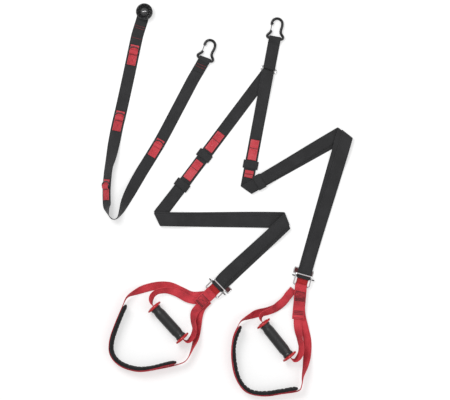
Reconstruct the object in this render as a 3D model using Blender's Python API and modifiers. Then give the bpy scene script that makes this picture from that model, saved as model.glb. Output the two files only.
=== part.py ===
# Suspension trainer laid out flat, with its separate anchor strap beside it.
# Metres, +Z up, resting on z = 0. The layout is seen from straight above.

import math

import bmesh
import bpy
from mathutils import Matrix, Vector

# Layout of the straps, in pixels of the top view, and what one pixel measures
METRES_PER_PIXEL = 0.00315
LAYOUT_CENTRE_PIXEL = (227.5, 199.8)

# Webbing
WEBBING_WIDTH = 0.038
WEBBING_THICKNESS = 0.002
RED_WEBBING_WIDTH = 0.025
CLEARANCE = 0.0003
PITCH = WEBBING_THICKNESS + CLEARANCE
FLOOR_LEVEL = WEBBING_THICKNESS / 2
DOUBLE_OFFSET = 0.0065
FOLD_STEPS = 6
LOOP_STEPS = 8

# Keepers and markers sewn on the legs
KEEPER_LENGTH = 0.026
KEEPER_THICKNESS = 0.0016
MARKER_WIDTH = 0.027
MARKER_RIDGE = 0.0016
MARKER_THICKNESS = 0.0018

# Anchor strap fittings
DISC_RADIUS = 0.026
DISC_HEIGHT = 0.024
DISC_HOLE_COUNT = 12
DISC_HOLE_RADIUS = 0.0034
TAB_LENGTH = 0.063
TAB_WIDTH = 0.0265
D_RING_RADIUS = 0.0165
D_RING_WIRE = 0.0017

# Carabiners
CARABINER_WIRE = 0.0042
CARABINER_BASE = 0.050
CARABINER_HEIGHT = 0.063
CARABINER_CROWN = 0.0165
GATE_WIRE = 0.0011

# Ring at the apex of the two legs
RING_WIRE = 0.0025
RING_LENGTH = 0.053
RING_WIDTH = 0.0168

# Strap buckles
BUCKLE_WIRE = 0.0022
BUCKLE_HALF_WIDTH = 0.0256
BUCKLE_SPLAY = 0.0035
BUCKLE_BRIGHT_BAR = 0.009
BUCKLE_REAR_BAR = 0.024
BUCKLE_LOWER_BAR = 0.026
FLOATING_BAR_WIRE = 0.002
FLOATING_BAR_HALF_LENGTH = 0.036
TAB_PLATE_THICKNESS = 0.003
RELEASE_TAB_LENGTH = 0.058
RELEASE_TAB_RIB_COUNT = 3
RELEASE_TAB_RIB_PITCH = 0.0028
RELEASE_TAB_RIB_HEIGHT = 0.0012

# Handles
GRIP_LENGTH = 0.121
GRIP_BELLY_RADIUS = 0.0173
GRIP_NECK_RADIUS = 0.0152
GRIP_END_RADIUS = 0.0170
CORE_RADIUS = 0.0142
CORE_BORE = 0.0130
FLANGE_RADIUS = 0.0255
FLANGE_THICKNESS = 0.0095
PAD_WIDTH = 0.044
PAD_THICKNESS = 0.013

COLOURS = {
    "black_webbing": ((0.035, 0.035, 0.037), 0.85, 0.0),
    "red_webbing": ((0.55, 0.03, 0.045), 0.8, 0.0),
    "black_plastic": ((0.02, 0.02, 0.021), 0.45, 0.0),
    "black_metal": ((0.02, 0.02, 0.02), 0.35, 0.6),
    "chrome": ((0.85, 0.84, 0.84), 0.12, 1.0),
    "rubber": ((0.03, 0.03, 0.03), 0.6, 0.0),
    "red_plastic": ((0.45, 0.015, 0.02), 0.3, 0.0),
    "pad_fabric": ((0.05, 0.05, 0.052), 0.9, 0.0),
}


# Scene and materials

def clear_scene():
    for old in list(bpy.data.objects):
        bpy.data.objects.remove(old)


def collection(name):
    made = bpy.data.collections.new(name)
    bpy.context.scene.collection.children.link(made)
    return made


def paint(obj, look):
    colour, roughness, metallic = COLOURS[look]
    material = bpy.data.materials.new(obj.name + "_material")
    material.use_nodes = True
    shader = material.node_tree.nodes["Principled BSDF"]
    shader.inputs["Base Color"].default_value = (*colour, 1)
    shader.inputs["Roughness"].default_value = roughness
    shader.inputs["Metallic"].default_value = metallic
    obj.data.materials.clear()
    obj.data.materials.append(material)


def add_object(name, data, look, matrix=None):
    obj = bpy.data.objects.new(name, data)
    PARTS.objects.link(obj)
    obj.matrix_world = matrix if matrix else Matrix()
    paint(obj, look)
    return obj


def pivot(name, place, members):
    """Empty on a joint's axis that carries the pieces moving about it."""
    empty = bpy.data.objects.new(name, None)
    empty.location = place
    PARTS.objects.link(empty)
    for member in members:
        member.parent = empty
        member.matrix_parent_inverse = Matrix.Translation(place).inverted()


# Places in the layout

def plan(pixel, height=0.0):
    across = (pixel[0] - LAYOUT_CENTRE_PIXEL[0]) * METRES_PER_PIXEL
    along = (LAYOUT_CENTRE_PIXEL[1] - pixel[1]) * METRES_PER_PIXEL
    return Vector((across, along, height))


def left_of(direction):
    return Vector((-direction.y, direction.x, 0))


def frame(origin, along):
    """Local X across to the right of `along`, local Y along it, local Z up."""
    forward = Vector((along.x, along.y, 0)).normalized()
    right = -left_of(forward)
    turn = Matrix((right, forward, Vector((0, 0, 1)))).transposed()
    return Matrix.Translation(origin) @ turn.to_4x4()


def smooth_step(share):
    clamped = min(max(share, 0), 1)
    return clamped * clamped * (3 - 2 * clamped)


def blend(first, second, share):
    return first + (second - first) * share


# Shapes

def strip_mesh(name, rows, closed=False):
    """Open surface through rows of points, each row running across the strap."""
    mesh = bpy.data.meshes.new(name)
    build = bmesh.new()
    made = [[build.verts.new(point) for point in row] for row in rows]
    count = len(made) if closed else len(made) - 1
    for index in range(count):
        this_row = made[index]
        next_row = made[(index + 1) % len(made)]
        for column in range(len(this_row) - 1):
            build.faces.new((this_row[column], this_row[column + 1],
                             next_row[column + 1], next_row[column]))
    bmesh.ops.recalc_face_normals(build, faces=build.faces)
    build.to_mesh(mesh)
    build.free()
    return mesh


def strap(name, rows, look, thickness=WEBBING_THICKNESS, closed=False):
    obj = add_object(name, strip_mesh(name, rows, closed), look)
    shell = obj.modifiers.new("thickness", "SOLIDIFY")
    shell.thickness = thickness
    shell.offset = 0
    return obj


def rod(name, points, radius, look, cyclic=False, matrix=None, resolution=2):
    curve = bpy.data.curves.new(name, "CURVE")
    curve.dimensions = "3D"
    curve.bevel_depth = radius
    curve.bevel_resolution = resolution
    curve.use_fill_caps = True
    spline = curve.splines.new("POLY")
    spline.points.add(len(points) - 1)
    for target, point in zip(spline.points, points):
        target.co = (*point, 1)
    spline.use_cyclic_u = cyclic
    return add_object(name, curve, look, matrix)


def turned(name, profile, look, matrix, steps=32, smooth=True):
    """Closed profile of (radius, height) turned about the local Z axis."""
    mesh = bpy.data.meshes.new(name)
    build = bmesh.new()
    made = [build.verts.new((radius, 0, height)) for radius, height in profile]
    for index, vert in enumerate(made):
        build.edges.new((vert, made[(index + 1) % len(made)]))
    build.to_mesh(mesh)
    build.free()
    obj = add_object(name, mesh, look, matrix)
    screw = obj.modifiers.new("turn", "SCREW")
    screw.steps = steps
    screw.render_steps = steps
    screw.use_merge_vertices = True
    screw.merge_threshold = CLEARANCE / 10
    screw.use_smooth_shade = smooth
    return obj


def plate(name, outline, thickness, look, matrix):
    curve = bpy.data.curves.new(name, "CURVE")
    curve.dimensions = "2D"
    curve.fill_mode = "BOTH"
    curve.extrude = thickness / 2
    spline = curve.splines.new("POLY")
    spline.points.add(len(outline) - 1)
    for target, point in zip(spline.points, outline):
        target.co = (point[0], point[1], 0, 1)
    spline.use_cyclic_u = True
    return add_object(name, curve, look, matrix)


def arc(centre, radius, start, end, steps):
    """Points on a circle, angles in degrees."""
    points = []
    for index in range(steps + 1):
        angle = math.radians(blend(start, end, index / steps))
        points.append((centre[0] + radius * math.cos(angle),
                       centre[1] + radius * math.sin(angle)))
    return points


def rounded_box(half_length, half_width, radius, steps=4):
    points = []
    corners = [(1, 1, 0), (-1, 1, 90), (-1, -1, 180), (1, -1, 270)]
    for side, end, start in corners:
        centre = (side * (half_length - radius), end * (half_width - radius))
        points += arc(centre, radius, start, start + 90, steps)
    return points


# Straps that flow and twist through the layout

def steady(before, start, end, after, share):
    """Cubic between two values that never overshoots them."""
    rise = end - start
    lead = slope_at(start - before, rise)
    trail = slope_at(rise, after - end)
    square = share * share
    cube = square * share
    return (start * (2 * cube - 3 * square + 1) + lead * (cube - 2 * square + share)
            + end * (3 * square - 2 * cube) + trail * (cube - square))


def slope_at(first, second):
    if first * second <= 0:
        return 0
    return 2 * first * second / (first + second)


def flowing_frames(route, steps, width):
    """Frames along a smooth curve through (place, roll in degrees); the strap stays off the floor."""
    points = [place for place, roll in route]
    rolls = [math.radians(roll) for place, roll in route]
    places = []
    turns = []
    for index in range(len(points) - 1):
        before = points[max(index - 1, 0)]
        after = points[min(index + 2, len(points) - 1)]
        for step in range(steps):
            share = step / steps
            place = spline_point(before, points[index], points[index + 1], after, share)
            place.z = steady(before.z, points[index].z, points[index + 1].z, after.z, share)
            places.append(place)
            turns.append(steady(rolls[max(index - 1, 0)], rolls[index], rolls[index + 1],
                                rolls[min(index + 2, len(rolls) - 1)], share))
    places.append(points[-1].copy())
    turns.append(rolls[-1])
    for place, turn in zip(places, turns):
        resting = FLOOR_LEVEL * math.sqrt(abs(math.cos(turn))) + width / 2 * abs(math.sin(turn))
        place.z = max(place.z, resting)
    frames = []
    for index, place in enumerate(places):
        ahead = places[min(index + 1, len(places) - 1)]
        behind = places[max(index - 1, 0)]
        tangent = (ahead - behind).normalized()
        level = left_of(tangent).normalized()
        upward = tangent.cross(level)
        across = level * math.cos(turns[index]) + upward * math.sin(turns[index])
        frames.append((place, across, tangent.cross(across)))
    return frames


def spline_point(before, start, end, after, share):
    square = share * share
    cube = square * share
    return 0.5 * (2 * start + (end - before) * share
                  + (2 * before - 5 * start + 4 * end - after) * square
                  + (3 * start - before - 3 * end + after) * cube)


def strap_rows(frames, width, lift=0.0):
    half = width / 2
    return [(place + across * half + normal * lift, place - across * half + normal * lift)
            for place, across, normal in frames]


# The legs: one webbing from keeper to keeper, round both floating bars and the ring

LEFT_LEG_PIXELS = [(157.9, 216.9), (285.6, 220.2), (217.3, 286.6)]
RIGHT_LEG_PIXELS = [(246.2, 188.6), (343.4, 133.4), (303.2, 277.6)]
RING_CENTRE_PIXEL = (268.6, 69.8)
RING_TILT_DEGREES = -18
FOLD_RADIUS = 0.0033
ROW_BLEND = 0.032
HOLD_AFTER_FOLD = 0.055
SETTLE_LENGTH = 0.07
KEEPER_RAMP = 0.018
BUCKLE_RISE = 0.04
BUCKLE_SPREAD = 0.026
WRAP_HOLD = 0.095

RING_WRAP = RING_WIRE + 2 * CLEARANCE + WEBBING_THICKNESS / 2
RING_LEVEL = FLOOR_LEVEL + RING_WRAP
BAR_WRAP = FLOATING_BAR_WIRE + CLEARANCE + WEBBING_THICKNESS / 2
BUCKLE_STRAP_LEVEL = TAB_PLATE_THICKNESS + CLEARANCE + FLOOR_LEVEL
FLOATING_BAR_LEVEL = BUCKLE_STRAP_LEVEL + BAR_WRAP
KEEPER_LIFT = KEEPER_THICKNESS + CLEARANCE


def ring_direction():
    tilt = math.radians(RING_TILT_DEGREES)
    return Vector((math.cos(tilt), math.sin(tilt), 0))


def ring_bar(side):
    """Middle of the ring's upper (1) or lower (-1) bar."""
    reach = RING_WIDTH / 2 - RING_WIRE
    return plan(RING_CENTRE_PIXEL) + left_of(ring_direction()) * (side * reach)


class Leg:
    """Flat centre line with diagonal folds; each later stretch lies on the one before."""

    def __init__(self, pixels, double_from, offsets, keepers, ring_on_top):
        self.corners = [ring_bar(-1)] + [plan(pixel) for pixel in pixels]
        self.double_from = double_from
        self.offsets = offsets
        self.keepers = keepers
        self.ring_on_top = ring_on_top
        self.drift = {}
        self.directions = []
        for start, end in zip(self.corners, self.corners[1:]):
            self.directions.append((end - start).normalized())
        self.sides = [left_of(self.directions[0])]
        self.creases = [ring_direction()]
        for before, after in zip(self.directions, self.directions[1:]):
            outward = (before - after).normalized()
            crease = left_of(outward)
            if crease.dot(self.sides[-1]) < 0:
                crease = -crease
            side = left_of(after)
            if crease.dot(side) < 0:
                side = -side
            self.creases.append(crease)
            self.sides.append(side)
        if self.creases[0].dot(self.sides[0]) < 0:
            self.creases[0] = -self.creases[0]
        self.creases.append(self.sides[-1])

    def doubled(self, corner):
        return self.double_from <= corner

    def fold_height(self, corner):
        stack = PITCH if self.doubled(corner) else 0
        return FLOOR_LEVEL + stack + FOLD_RADIUS

    def length(self, stretch):
        return (self.corners[stretch + 1] - self.corners[stretch]).length

    def base(self, stretch, distance):
        """Height of the lowest layer's middle at a distance along a stretch."""
        if stretch == 0:
            start = FLOOR_LEVEL
            if self.ring_on_top:
                start = RING_LEVEL + RING_WRAP
            hold = WRAP_HOLD
        else:
            stack = PITCH if self.doubled(stretch) else 0
            start = 2 * self.fold_height(stretch) - FLOOR_LEVEL - stack
            hold = HOLD_AFTER_FOLD
        if stretch == 0 and self.ring_on_top:
            low = 2 * PITCH + FLOOR_LEVEL
            start = blend(start, low, smooth_step(distance / hold))
        height = blend(start, FLOOR_LEVEL, smooth_step((distance - hold) / SETTLE_LENGTH))
        for keeper_stretch, place in self.keepers:
            if keeper_stretch == stretch:
                away = abs(distance - place) - KEEPER_LENGTH / 2 - KEEPER_RAMP / 2
                lift = KEEPER_LIFT * smooth_step(1 - away / KEEPER_RAMP)
                height = max(height, FLOOR_LEVEL + lift)
        if stretch == len(self.directions) - 1:
            left = self.length(stretch) - distance - BUCKLE_REAR_BAR - BUCKLE_WIRE
            rise = smooth_step(1 - left / BUCKLE_RISE)
            height = blend(height, max(height, BUCKLE_STRAP_LEVEL), rise)
        return height

    def layer_height(self, stretch, distance, rank):
        height = self.base(stretch, distance) + rank * PITCH
        if stretch == len(self.directions) - 1:
            share = smooth_step(1 - (self.length(stretch) - distance) / BUCKLE_SPREAD)
            target = FLOATING_BAR_LEVEL - BAR_WRAP + 2 * rank * BAR_WRAP
            height = blend(height, target, share)
        return height

    def row(self, centre, direction, side, half):
        """Row through `centre`, cut along `direction`, of a strap whose true side is `side`."""
        reach = half / abs(direction.dot(side))
        return (centre + direction * reach, centre - direction * reach)

    def place(self, stretch, distance, offset, rank):
        centre = self.corners[stretch] + self.directions[stretch] * distance
        centre = centre + self.sides[stretch] * offset
        centre.z = self.layer_height(stretch, distance, rank)
        return centre

    def layer_rows(self, rank, sign, first_stretch=0, first_distance=0.0):
        """Rows of one layer from the ring (or a keeper) down to the floating bar."""
        half = WEBBING_WIDTH / 2
        rows = []
        start_distance = first_distance
        start_offset = sign * self.offsets[first_stretch]
        for stretch in range(first_stretch, len(self.directions)):
            forward = self.directions[stretch]
            side = self.sides[stretch]
            last = stretch == len(self.directions) - 1
            end_offset = sign * self.offsets[stretch + 1]
            end_crease = self.creases[stretch + 1]
            outward = left_of(end_crease)
            if outward.dot(forward) < 0:
                outward = -outward
            end_distance = self.length(stretch)
            if not last:
                end_distance -= end_offset * side.dot(outward) / forward.dot(outward)
            for distance in self.stops(stretch, start_distance, end_distance):
                share = (distance - start_distance) / (end_distance - start_distance)
                offset = blend(start_offset, end_offset, smooth_step(share))
                if last:
                    near = smooth_step((end_distance - distance) / BUCKLE_RISE)
                    offset = blend(sign * BUCKLE_SPLAY, offset, near)
                lead = smooth_step((distance - start_distance) / ROW_BLEND)
                start_row = self.creases[stretch]
                if stretch == first_stretch and first_distance > 0:
                    start_row = side
                trail = smooth_step((end_distance - distance) / ROW_BLEND)
                direction = blend(start_row, side, lead).normalized()
                direction = blend(end_crease, direction, trail).normalized()
                centre = self.place(stretch, distance, offset, rank)
                rows.append(self.row(centre, direction, side, half))
            if last:
                break
            corner = stretch + 1
            axis_height = self.fold_height(corner)
            centre = self.corners[corner] + side * end_offset
            centre = centre + forward * (end_distance - self.length(stretch))
            level = self.layer_height(stretch, end_distance, rank)
            radius = axis_height - level
            for step in range(1, FOLD_STEPS + 1):
                angle = math.pi * step / FOLD_STEPS
                travel = radius * angle
                point = centre + forward * (travel / forward.dot(outward))
                point = point + outward * (radius * math.sin(angle) - travel)
                point.z = level + radius * (1 - math.cos(angle))
                if step < FOLD_STEPS:
                    rows.append(self.row(point, end_crease, side, half))
            offset_vector = point - self.corners[corner]
            start_distance = offset_vector.dot(self.directions[corner])
            start_offset = offset_vector.dot(self.sides[corner])
            self.drift.setdefault(corner, start_offset)
            rank = 1 - rank if self.doubled(corner) else 0
        return rows

    def stops(self, stretch, start, end):
        """Distances of the rows: close together near folds, keepers and the buckle."""
        found = {start, end}
        third = ROW_BLEND / 3
        for step in range(1, 4):
            found.add(start + third * step)
            found.add(end - third * step)
        pitch = SETTLE_LENGTH / 3
        steps = int((end - start - 2 * ROW_BLEND) / pitch)
        for step in range(1, steps + 1):
            found.add(start + ROW_BLEND + (end - start - 2 * ROW_BLEND) * step / (steps + 1))
        for keeper_stretch, place in self.keepers:
            if keeper_stretch == stretch:
                for step in range(5):
                    reach = KEEPER_LENGTH / 2 + KEEPER_RAMP * (0.5 + step / 4)
                    found.update((place - reach, place + reach))
        ordered = sorted(distance for distance in found if start <= distance <= end)
        kept = [ordered[0]]
        for distance in ordered[1:-1]:
            if distance - kept[-1] > WEBBING_THICKNESS and end - distance > WEBBING_THICKNESS:
                kept.append(distance)
        return kept + [ordered[-1]]


def bar_loop_rows(leg, sign):
    """Half turn round the floating bar, from the upper layer on side `sign` to the lower."""
    rows = []
    for step in range(1, LOOP_STEPS):
        angle = math.pi * (0.5 - step / LOOP_STEPS)
        splay = sign * BUCKLE_SPLAY * (1 - 2 * step / LOOP_STEPS)
        centre = leg.corners[-1] + leg.directions[-1] * (BAR_WRAP * math.cos(angle))
        centre = centre + leg.sides[-1] * splay
        centre.z = FLOATING_BAR_LEVEL + BAR_WRAP * math.sin(angle)
        rows.append(leg.row(centre, leg.sides[-1], leg.sides[-1], WEBBING_WIDTH / 2))
    return rows


def ring_wrap_rows(leg):
    rows = []
    bar = leg.creases[0]
    upward = left_of(ring_direction())
    for step in range(1, LOOP_STEPS):
        angle = math.pi * (step / LOOP_STEPS - 0.5)
        centre = leg.corners[0] + upward * (RING_WRAP * math.cos(angle))
        centre.z = RING_LEVEL + RING_WRAP * math.sin(angle)
        rows.append((centre + bar * (WEBBING_WIDTH / 2), centre - bar * (WEBBING_WIDTH / 2)))
    return rows


# Keepers, as the stretch they sit on and their pixel
LEFT_KEEPER_PIXELS = [(0, (203.6, 155.0)), (0, (181.6, 184.6))]
RIGHT_KEEPER_PIXELS = [(0, (249.8, 164.6)), (1, (259.2, 181.6))]


def keeper_places(corner_pixels, keeper_pixels):
    corners = [ring_bar(-1)] + [plan(pixel) for pixel in corner_pixels]
    found = []
    for stretch, pixel in keeper_pixels:
        start = corners[stretch]
        along = (corners[stretch + 1] - start).normalized()
        found.append((stretch, (plan(pixel) - start).dot(along)))
    return found


LEFT_LEG = Leg(LEFT_LEG_PIXELS, 1, [0, DOUBLE_OFFSET / 4, DOUBLE_OFFSET, DOUBLE_OFFSET],
               keeper_places(LEFT_LEG_PIXELS, LEFT_KEEPER_PIXELS), False)
RIGHT_LEG = Leg(RIGHT_LEG_PIXELS, 2, [0, 0, DOUBLE_OFFSET, DOUBLE_OFFSET / 2],
                keeper_places(RIGHT_LEG_PIXELS, RIGHT_KEEPER_PIXELS), True)


def flipped(rows):
    return [(second, first) for first, second in rows]


def leg_webbing():
    """One webbing: left return, left leg, round the ring, right leg, right return."""
    left_start = LEFT_LEG.keepers[1][1] - KEEPER_LENGTH / 2
    left_return = LEFT_LEG.layer_rows(1, -1, 0, left_start)
    left_main = LEFT_LEG.layer_rows(0, 1)
    right_start = RIGHT_LEG.keepers[1][1] - KEEPER_LENGTH / 2
    right_main = RIGHT_LEG.layer_rows(0, 1)
    right_return = RIGHT_LEG.layer_rows(1, -1, 1, right_start)
    left = left_return + bar_loop_rows(LEFT_LEG, -1) + left_main[::-1]
    right = right_main + bar_loop_rows(RIGHT_LEG, 1) + right_return[::-1]
    wrap = ring_wrap_rows(LEFT_LEG)
    if (wrap[-1][0] - right_main[0][0]).length > (wrap[-1][0] - right_main[0][1]).length:
        right = flipped(right)
    return strap("leg_webbing", left + wrap + right, "black_webbing")


# Keepers and markers

KEEPER_HALF_WIDTH = 0.0232
KEEPER_CORNER_SHARE = 0.55
LEFT_MARKER_PIXELS = [((220.7, 132.8), (207.2, 149.8)), ((198.9, 160.6), (185.9, 178.4))]
RIGHT_MARKER_PIXELS = [((255.8, 140.0), (251.2, 160.0)), ((249.1, 170.4), (248.4, 177.6))]
MARKER_RIDGE_SHARE = 0.36
MARKER_STEPS = 16


def keeper(name, leg, index, layers):
    stretch, distance = leg.keepers[index]
    inside = (layers - 1) * PITCH + WEBBING_THICKNESS + 2 * CLEARANCE
    half_height = (inside + KEEPER_THICKNESS) / 2
    centre = leg.place(stretch, distance, leg.drift.get(stretch, 0) / 2, 0)
    centre.z += (layers - 1) * PITCH / 2
    along = leg.directions[stretch] * (KEEPER_LENGTH / 2)
    rows = []
    corner = half_height * KEEPER_CORNER_SHARE
    for across, up in rounded_box(KEEPER_HALF_WIDTH, half_height, corner):
        point = centre + leg.sides[stretch] * across + Vector((0, 0, up))
        rows.append((point + along, point - along))
    made = strap(name, rows, "black_webbing", KEEPER_THICKNESS, closed=True)
    pivot(name + "_slide", centre, [made])
    return made


def marker(name, leg, pixels):
    start = (plan(pixels[0]) - leg.corners[0]).dot(leg.directions[0])
    end = (plan(pixels[1]) - leg.corners[0]).dot(leg.directions[0])
    lift = (WEBBING_THICKNESS + MARKER_THICKNESS) / 2 + CLEARANCE
    half = MARKER_WIDTH / 2
    rows = []
    for step in range(MARKER_STEPS + 1):
        share = step / MARKER_STEPS
        centre = leg.place(0, blend(start, end, share), 0, 0)
        ridge = max(0, 1 - abs(share - MARKER_RIDGE_SHARE) * MARKER_STEPS / 2)
        centre.z += lift + MARKER_RIDGE * smooth_step(ridge)
        rows.append((centre + leg.sides[0] * half, centre - leg.sides[0] * half))
    return strap(name, rows, "red_webbing", MARKER_THICKNESS)


def build_keepers_and_markers():
    keeper("left_upper_keeper", LEFT_LEG, 0, 1)
    keeper("left_lower_keeper", LEFT_LEG, 1, 2)
    keeper("right_upper_keeper", RIGHT_LEG, 0, 1)
    keeper("right_lower_keeper", RIGHT_LEG, 1, 2)
    marker("left_upper_marker", LEFT_LEG, LEFT_MARKER_PIXELS[0])
    marker("left_lower_marker", LEFT_LEG, LEFT_MARKER_PIXELS[1])
    marker("right_upper_marker", RIGHT_LEG, RIGHT_MARKER_PIXELS[0])
    marker("right_lower_marker", RIGHT_LEG, RIGHT_MARKER_PIXELS[1])


# Apex ring and the short loop that hangs it from the carabiner

TOP_CARABINER_PIXEL = (274.8, 38.6)
TOP_CARABINER_APEX_PIXEL = (278.2, 16.6)
LOOP_CLOSE_LENGTH = 0.022
LOOP_SIDE_STEPS = 14
CARABINER_WRAP = CARABINER_WIRE + 3 * CLEARANCE + WEBBING_THICKNESS / 2
CARABINER_LEVEL = max(CARABINER_WIRE + 2 * GATE_WIRE + 2 * CLEARANCE, CARABINER_WRAP + FLOOR_LEVEL)


def apex_ring():
    centre = plan(RING_CENTRE_PIXEL, RING_LEVEL)
    upward = left_of(ring_direction())
    outline = rounded_box(RING_LENGTH / 2 - RING_WIRE, RING_WIDTH / 2 - RING_WIRE,
                          RING_WIDTH / 5, 5)
    points = [centre + ring_direction() * across + upward * along for across, along in outline]
    return rod("apex_ring", points, RING_WIRE, "chrome", cyclic=True)


def loop_rows(first, second):
    """Closed loop over two bars, each given as (middle, wrap radius, row direction)."""
    along = second[0] - first[0]
    along.z = 0
    length = along.length
    along.normalize()
    half = WEBBING_WIDTH / 2
    rows = []

    def height(side, distance):
        middle = FLOOR_LEVEL + PITCH / 2
        near_first = 1 - smooth_step(distance / LOOP_CLOSE_LENGTH)
        near_second = 1 - smooth_step((length - distance) / LOOP_CLOSE_LENGTH)
        value = middle + side * PITCH / 2
        value = blend(value, first[0].z + side * first[1], near_first)
        return blend(value, second[0].z + side * second[1], near_second)

    def row(distance, level, beyond=0.0):
        share = smooth_step(distance / length)
        direction = blend(first[2], second[2], share).normalized()
        centre = first[0] + along * (distance + beyond)
        centre.z = level
        return (centre + direction * half, centre - direction * half)

    for step in range(LOOP_SIDE_STEPS + 1):
        distance = length * step / LOOP_SIDE_STEPS
        rows.append(row(distance, height(-1, distance)))
    for step in range(1, LOOP_STEPS):
        angle = math.pi * (step / LOOP_STEPS - 0.5)
        level = second[0].z + second[1] * math.sin(angle)
        rows.append(row(length, level, second[1] * math.cos(angle)))
    for step in range(LOOP_SIDE_STEPS + 1):
        distance = length * (1 - step / LOOP_SIDE_STEPS)
        rows.append(row(distance, height(1, distance)))
    for step in range(1, LOOP_STEPS):
        angle = math.pi * (0.5 - step / LOOP_STEPS)
        level = first[0].z + first[1] * math.sin(angle)
        rows.append(row(0, level, -first[1] * math.cos(angle)))
    return rows


def top_loop():
    ring_end = ring_bar(1)
    ring_end.z = RING_LEVEL
    top_end = plan(TOP_CARABINER_PIXEL, CARABINER_LEVEL)
    side = -left_of((top_end - ring_end).normalized())
    side.z = 0
    rows = loop_rows((top_end, CARABINER_WRAP, side.normalized()),
                     (ring_end, RING_WRAP, ring_direction()))
    made = strap("top_loop_webbing", rows, "black_webbing", closed=True)
    pivot("top_loop_hinge", ring_end, [made])


# Carabiners: bell-shaped wire frame with a straight base bar, and a wire gate

CARABINER_BASE_SHARES = [(0, 0), (0.82, 0), (0.97, 0.055), (1.0, 0.13), (0.9, 0.225)]
CARABINER_WAIST_SHARES = [(0.68, 0.36), (0.6, 0.48)]
CARABINER_SHOULDER_SHARES = [(0.61, 0.66), (0.67, 0.86)]
CARABINER_NOSE_SHARES = [(-0.655, 0.9)]
CROWN_START_DEGREES = 15
CROWN_STEPS = 6
GATE_BEND_STEPS = 6


def smooth_points(points, steps):
    found = []
    for index in range(len(points) - 1):
        before = points[max(index - 1, 0)]
        after = points[min(index + 2, len(points) - 1)]
        for step in range(steps):
            found.append(spline_point(before, points[index], points[index + 1], after,
                                      step / steps))
    found.append(points[-1])
    return found


def carabiner(name, matrix):
    half_base = CARABINER_BASE / 2
    crown_height = CARABINER_HEIGHT - CARABINER_CROWN

    def sized(shares):
        return [Vector((half_base * across, crown_height * up, 0)) for across, up in shares]

    right = sized(CARABINER_BASE_SHARES + CARABINER_WAIST_SHARES)
    left = [Vector((-point.x, point.y, 0)) for point in right]
    crown = [Vector((across, up, 0))
             for across, up in arc((0, crown_height), CARABINER_CROWN, CROWN_START_DEGREES,
                                   180 - CROWN_START_DEGREES, CROWN_STEPS)]
    path = left[:0:-1] + right + sized(CARABINER_SHOULDER_SHARES) + crown
    path += sized(CARABINER_NOSE_SHARES)
    return rod(name, smooth_points(path, 2), CARABINER_WIRE, "black_metal", matrix=matrix)


def gate_ends():
    """Pivot and tip of the gate, in the carabiner's own frame."""
    half_base = CARABINER_BASE / 2
    crown_height = CARABINER_HEIGHT - CARABINER_CROWN
    pin = Vector((-half_base * CARABINER_WAIST_SHARES[0][0],
                  crown_height * CARABINER_WAIST_SHARES[0][1], 0))
    tip = Vector((half_base * CARABINER_NOSE_SHARES[0][0],
                  crown_height * CARABINER_NOSE_SHARES[0][1] + CARABINER_WIRE, 0))
    return pin, tip


def gate(name, matrix, look):
    """Hairpin that straddles the frame's arm and closes inside the nose; its origin is its pivot."""
    pin, tip = gate_ends()
    reach = tip - pin
    spread = Vector((0, 0, CARABINER_WIRE + CLEARANCE + GATE_WIRE))
    inward = Vector((CARABINER_WIRE + CLEARANCE + GATE_WIRE, 0, 0))
    path = [spread, reach / 2 + spread, reach + spread]
    for step in range(1, GATE_BEND_STEPS):
        angle = math.pi * step / GATE_BEND_STEPS
        path.append(reach + spread * math.cos(angle) + inward * math.sin(angle))
    path += [reach - spread, reach / 2 - spread, -spread]
    return rod(name, path, GATE_WIRE, look, matrix=matrix @ Matrix.Translation(pin))


def build_top():
    apex_ring()
    top_loop()
    origin = plan(TOP_CARABINER_PIXEL, CARABINER_LEVEL)
    matrix = frame(origin, plan(TOP_CARABINER_APEX_PIXEL) - plan(TOP_CARABINER_PIXEL))
    carabiner("top_carabiner", matrix)
    gate("top_gate", matrix, "black_metal")


# Strap buckles

STACK_LAYERS = 4
YOKE_WRAP = (STACK_LAYERS + 1) * PITCH / 2
YOKE_SLACK = YOKE_WRAP - WEBBING_THICKNESS / 2 - BUCKLE_WIRE - 2 * CLEARANCE
SLACK_SHARE = 0.7
LOWER_BAR_LEVEL = FLOOR_LEVEL + YOKE_WRAP + YOKE_SLACK * SLACK_SHARE
RELEASE_WIRE = 0.0014
RELEASE_TAB_WIDTH = 0.014
RELEASE_TAB_START = 0.0105
RIB_CREST_SHARE = 0.5
RIB_WIDTH_SHARE = 0.4
RIB_STEPS = 4
BRIGHT_BAR_LEVEL = (FLOATING_BAR_LEVEL + BAR_WRAP + WEBBING_THICKNESS / 2
                    + CLEARANCE + BUCKLE_WIRE)


def rail_level(along):
    """Height of the side rails at a distance along the buckle from the floating bar."""
    share = (along + BUCKLE_LOWER_BAR) / (BUCKLE_BRIGHT_BAR + BUCKLE_LOWER_BAR)
    return blend(LOWER_BAR_LEVEL, BRIGHT_BAR_LEVEL, share)


def buckle_matrix(leg):
    origin = leg.corners[-1].copy()
    origin.z = 0
    return frame(origin, -leg.directions[-1])


def buckle_frame(side, leg):
    middle = (BUCKLE_BRIGHT_BAR - BUCKLE_LOWER_BAR) / 2
    half_length = (BUCKLE_BRIGHT_BAR + BUCKLE_LOWER_BAR) / 2
    points = []
    for across, along in rounded_box(BUCKLE_HALF_WIDTH, half_length, 2 * BUCKLE_WIRE, 4):
        place = middle + along
        points.append(Vector((across, place, rail_level(place))))
    return rod(side + "_buckle_frame", points, BUCKLE_WIRE, "chrome", cyclic=True,
               matrix=buckle_matrix(leg))


def floating_bar(side, leg):
    origin = buckle_matrix(leg) @ Matrix.Translation((0, 0, FLOATING_BAR_LEVEL))
    ends = [Vector((-FLOATING_BAR_HALF_LENGTH, 0, 0)), Vector((FLOATING_BAR_HALF_LENGTH, 0, 0))]
    return rod(side + "_floating_bar", ends, FLOATING_BAR_WIRE, "black_metal",
               matrix=origin, resolution=3)


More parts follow.
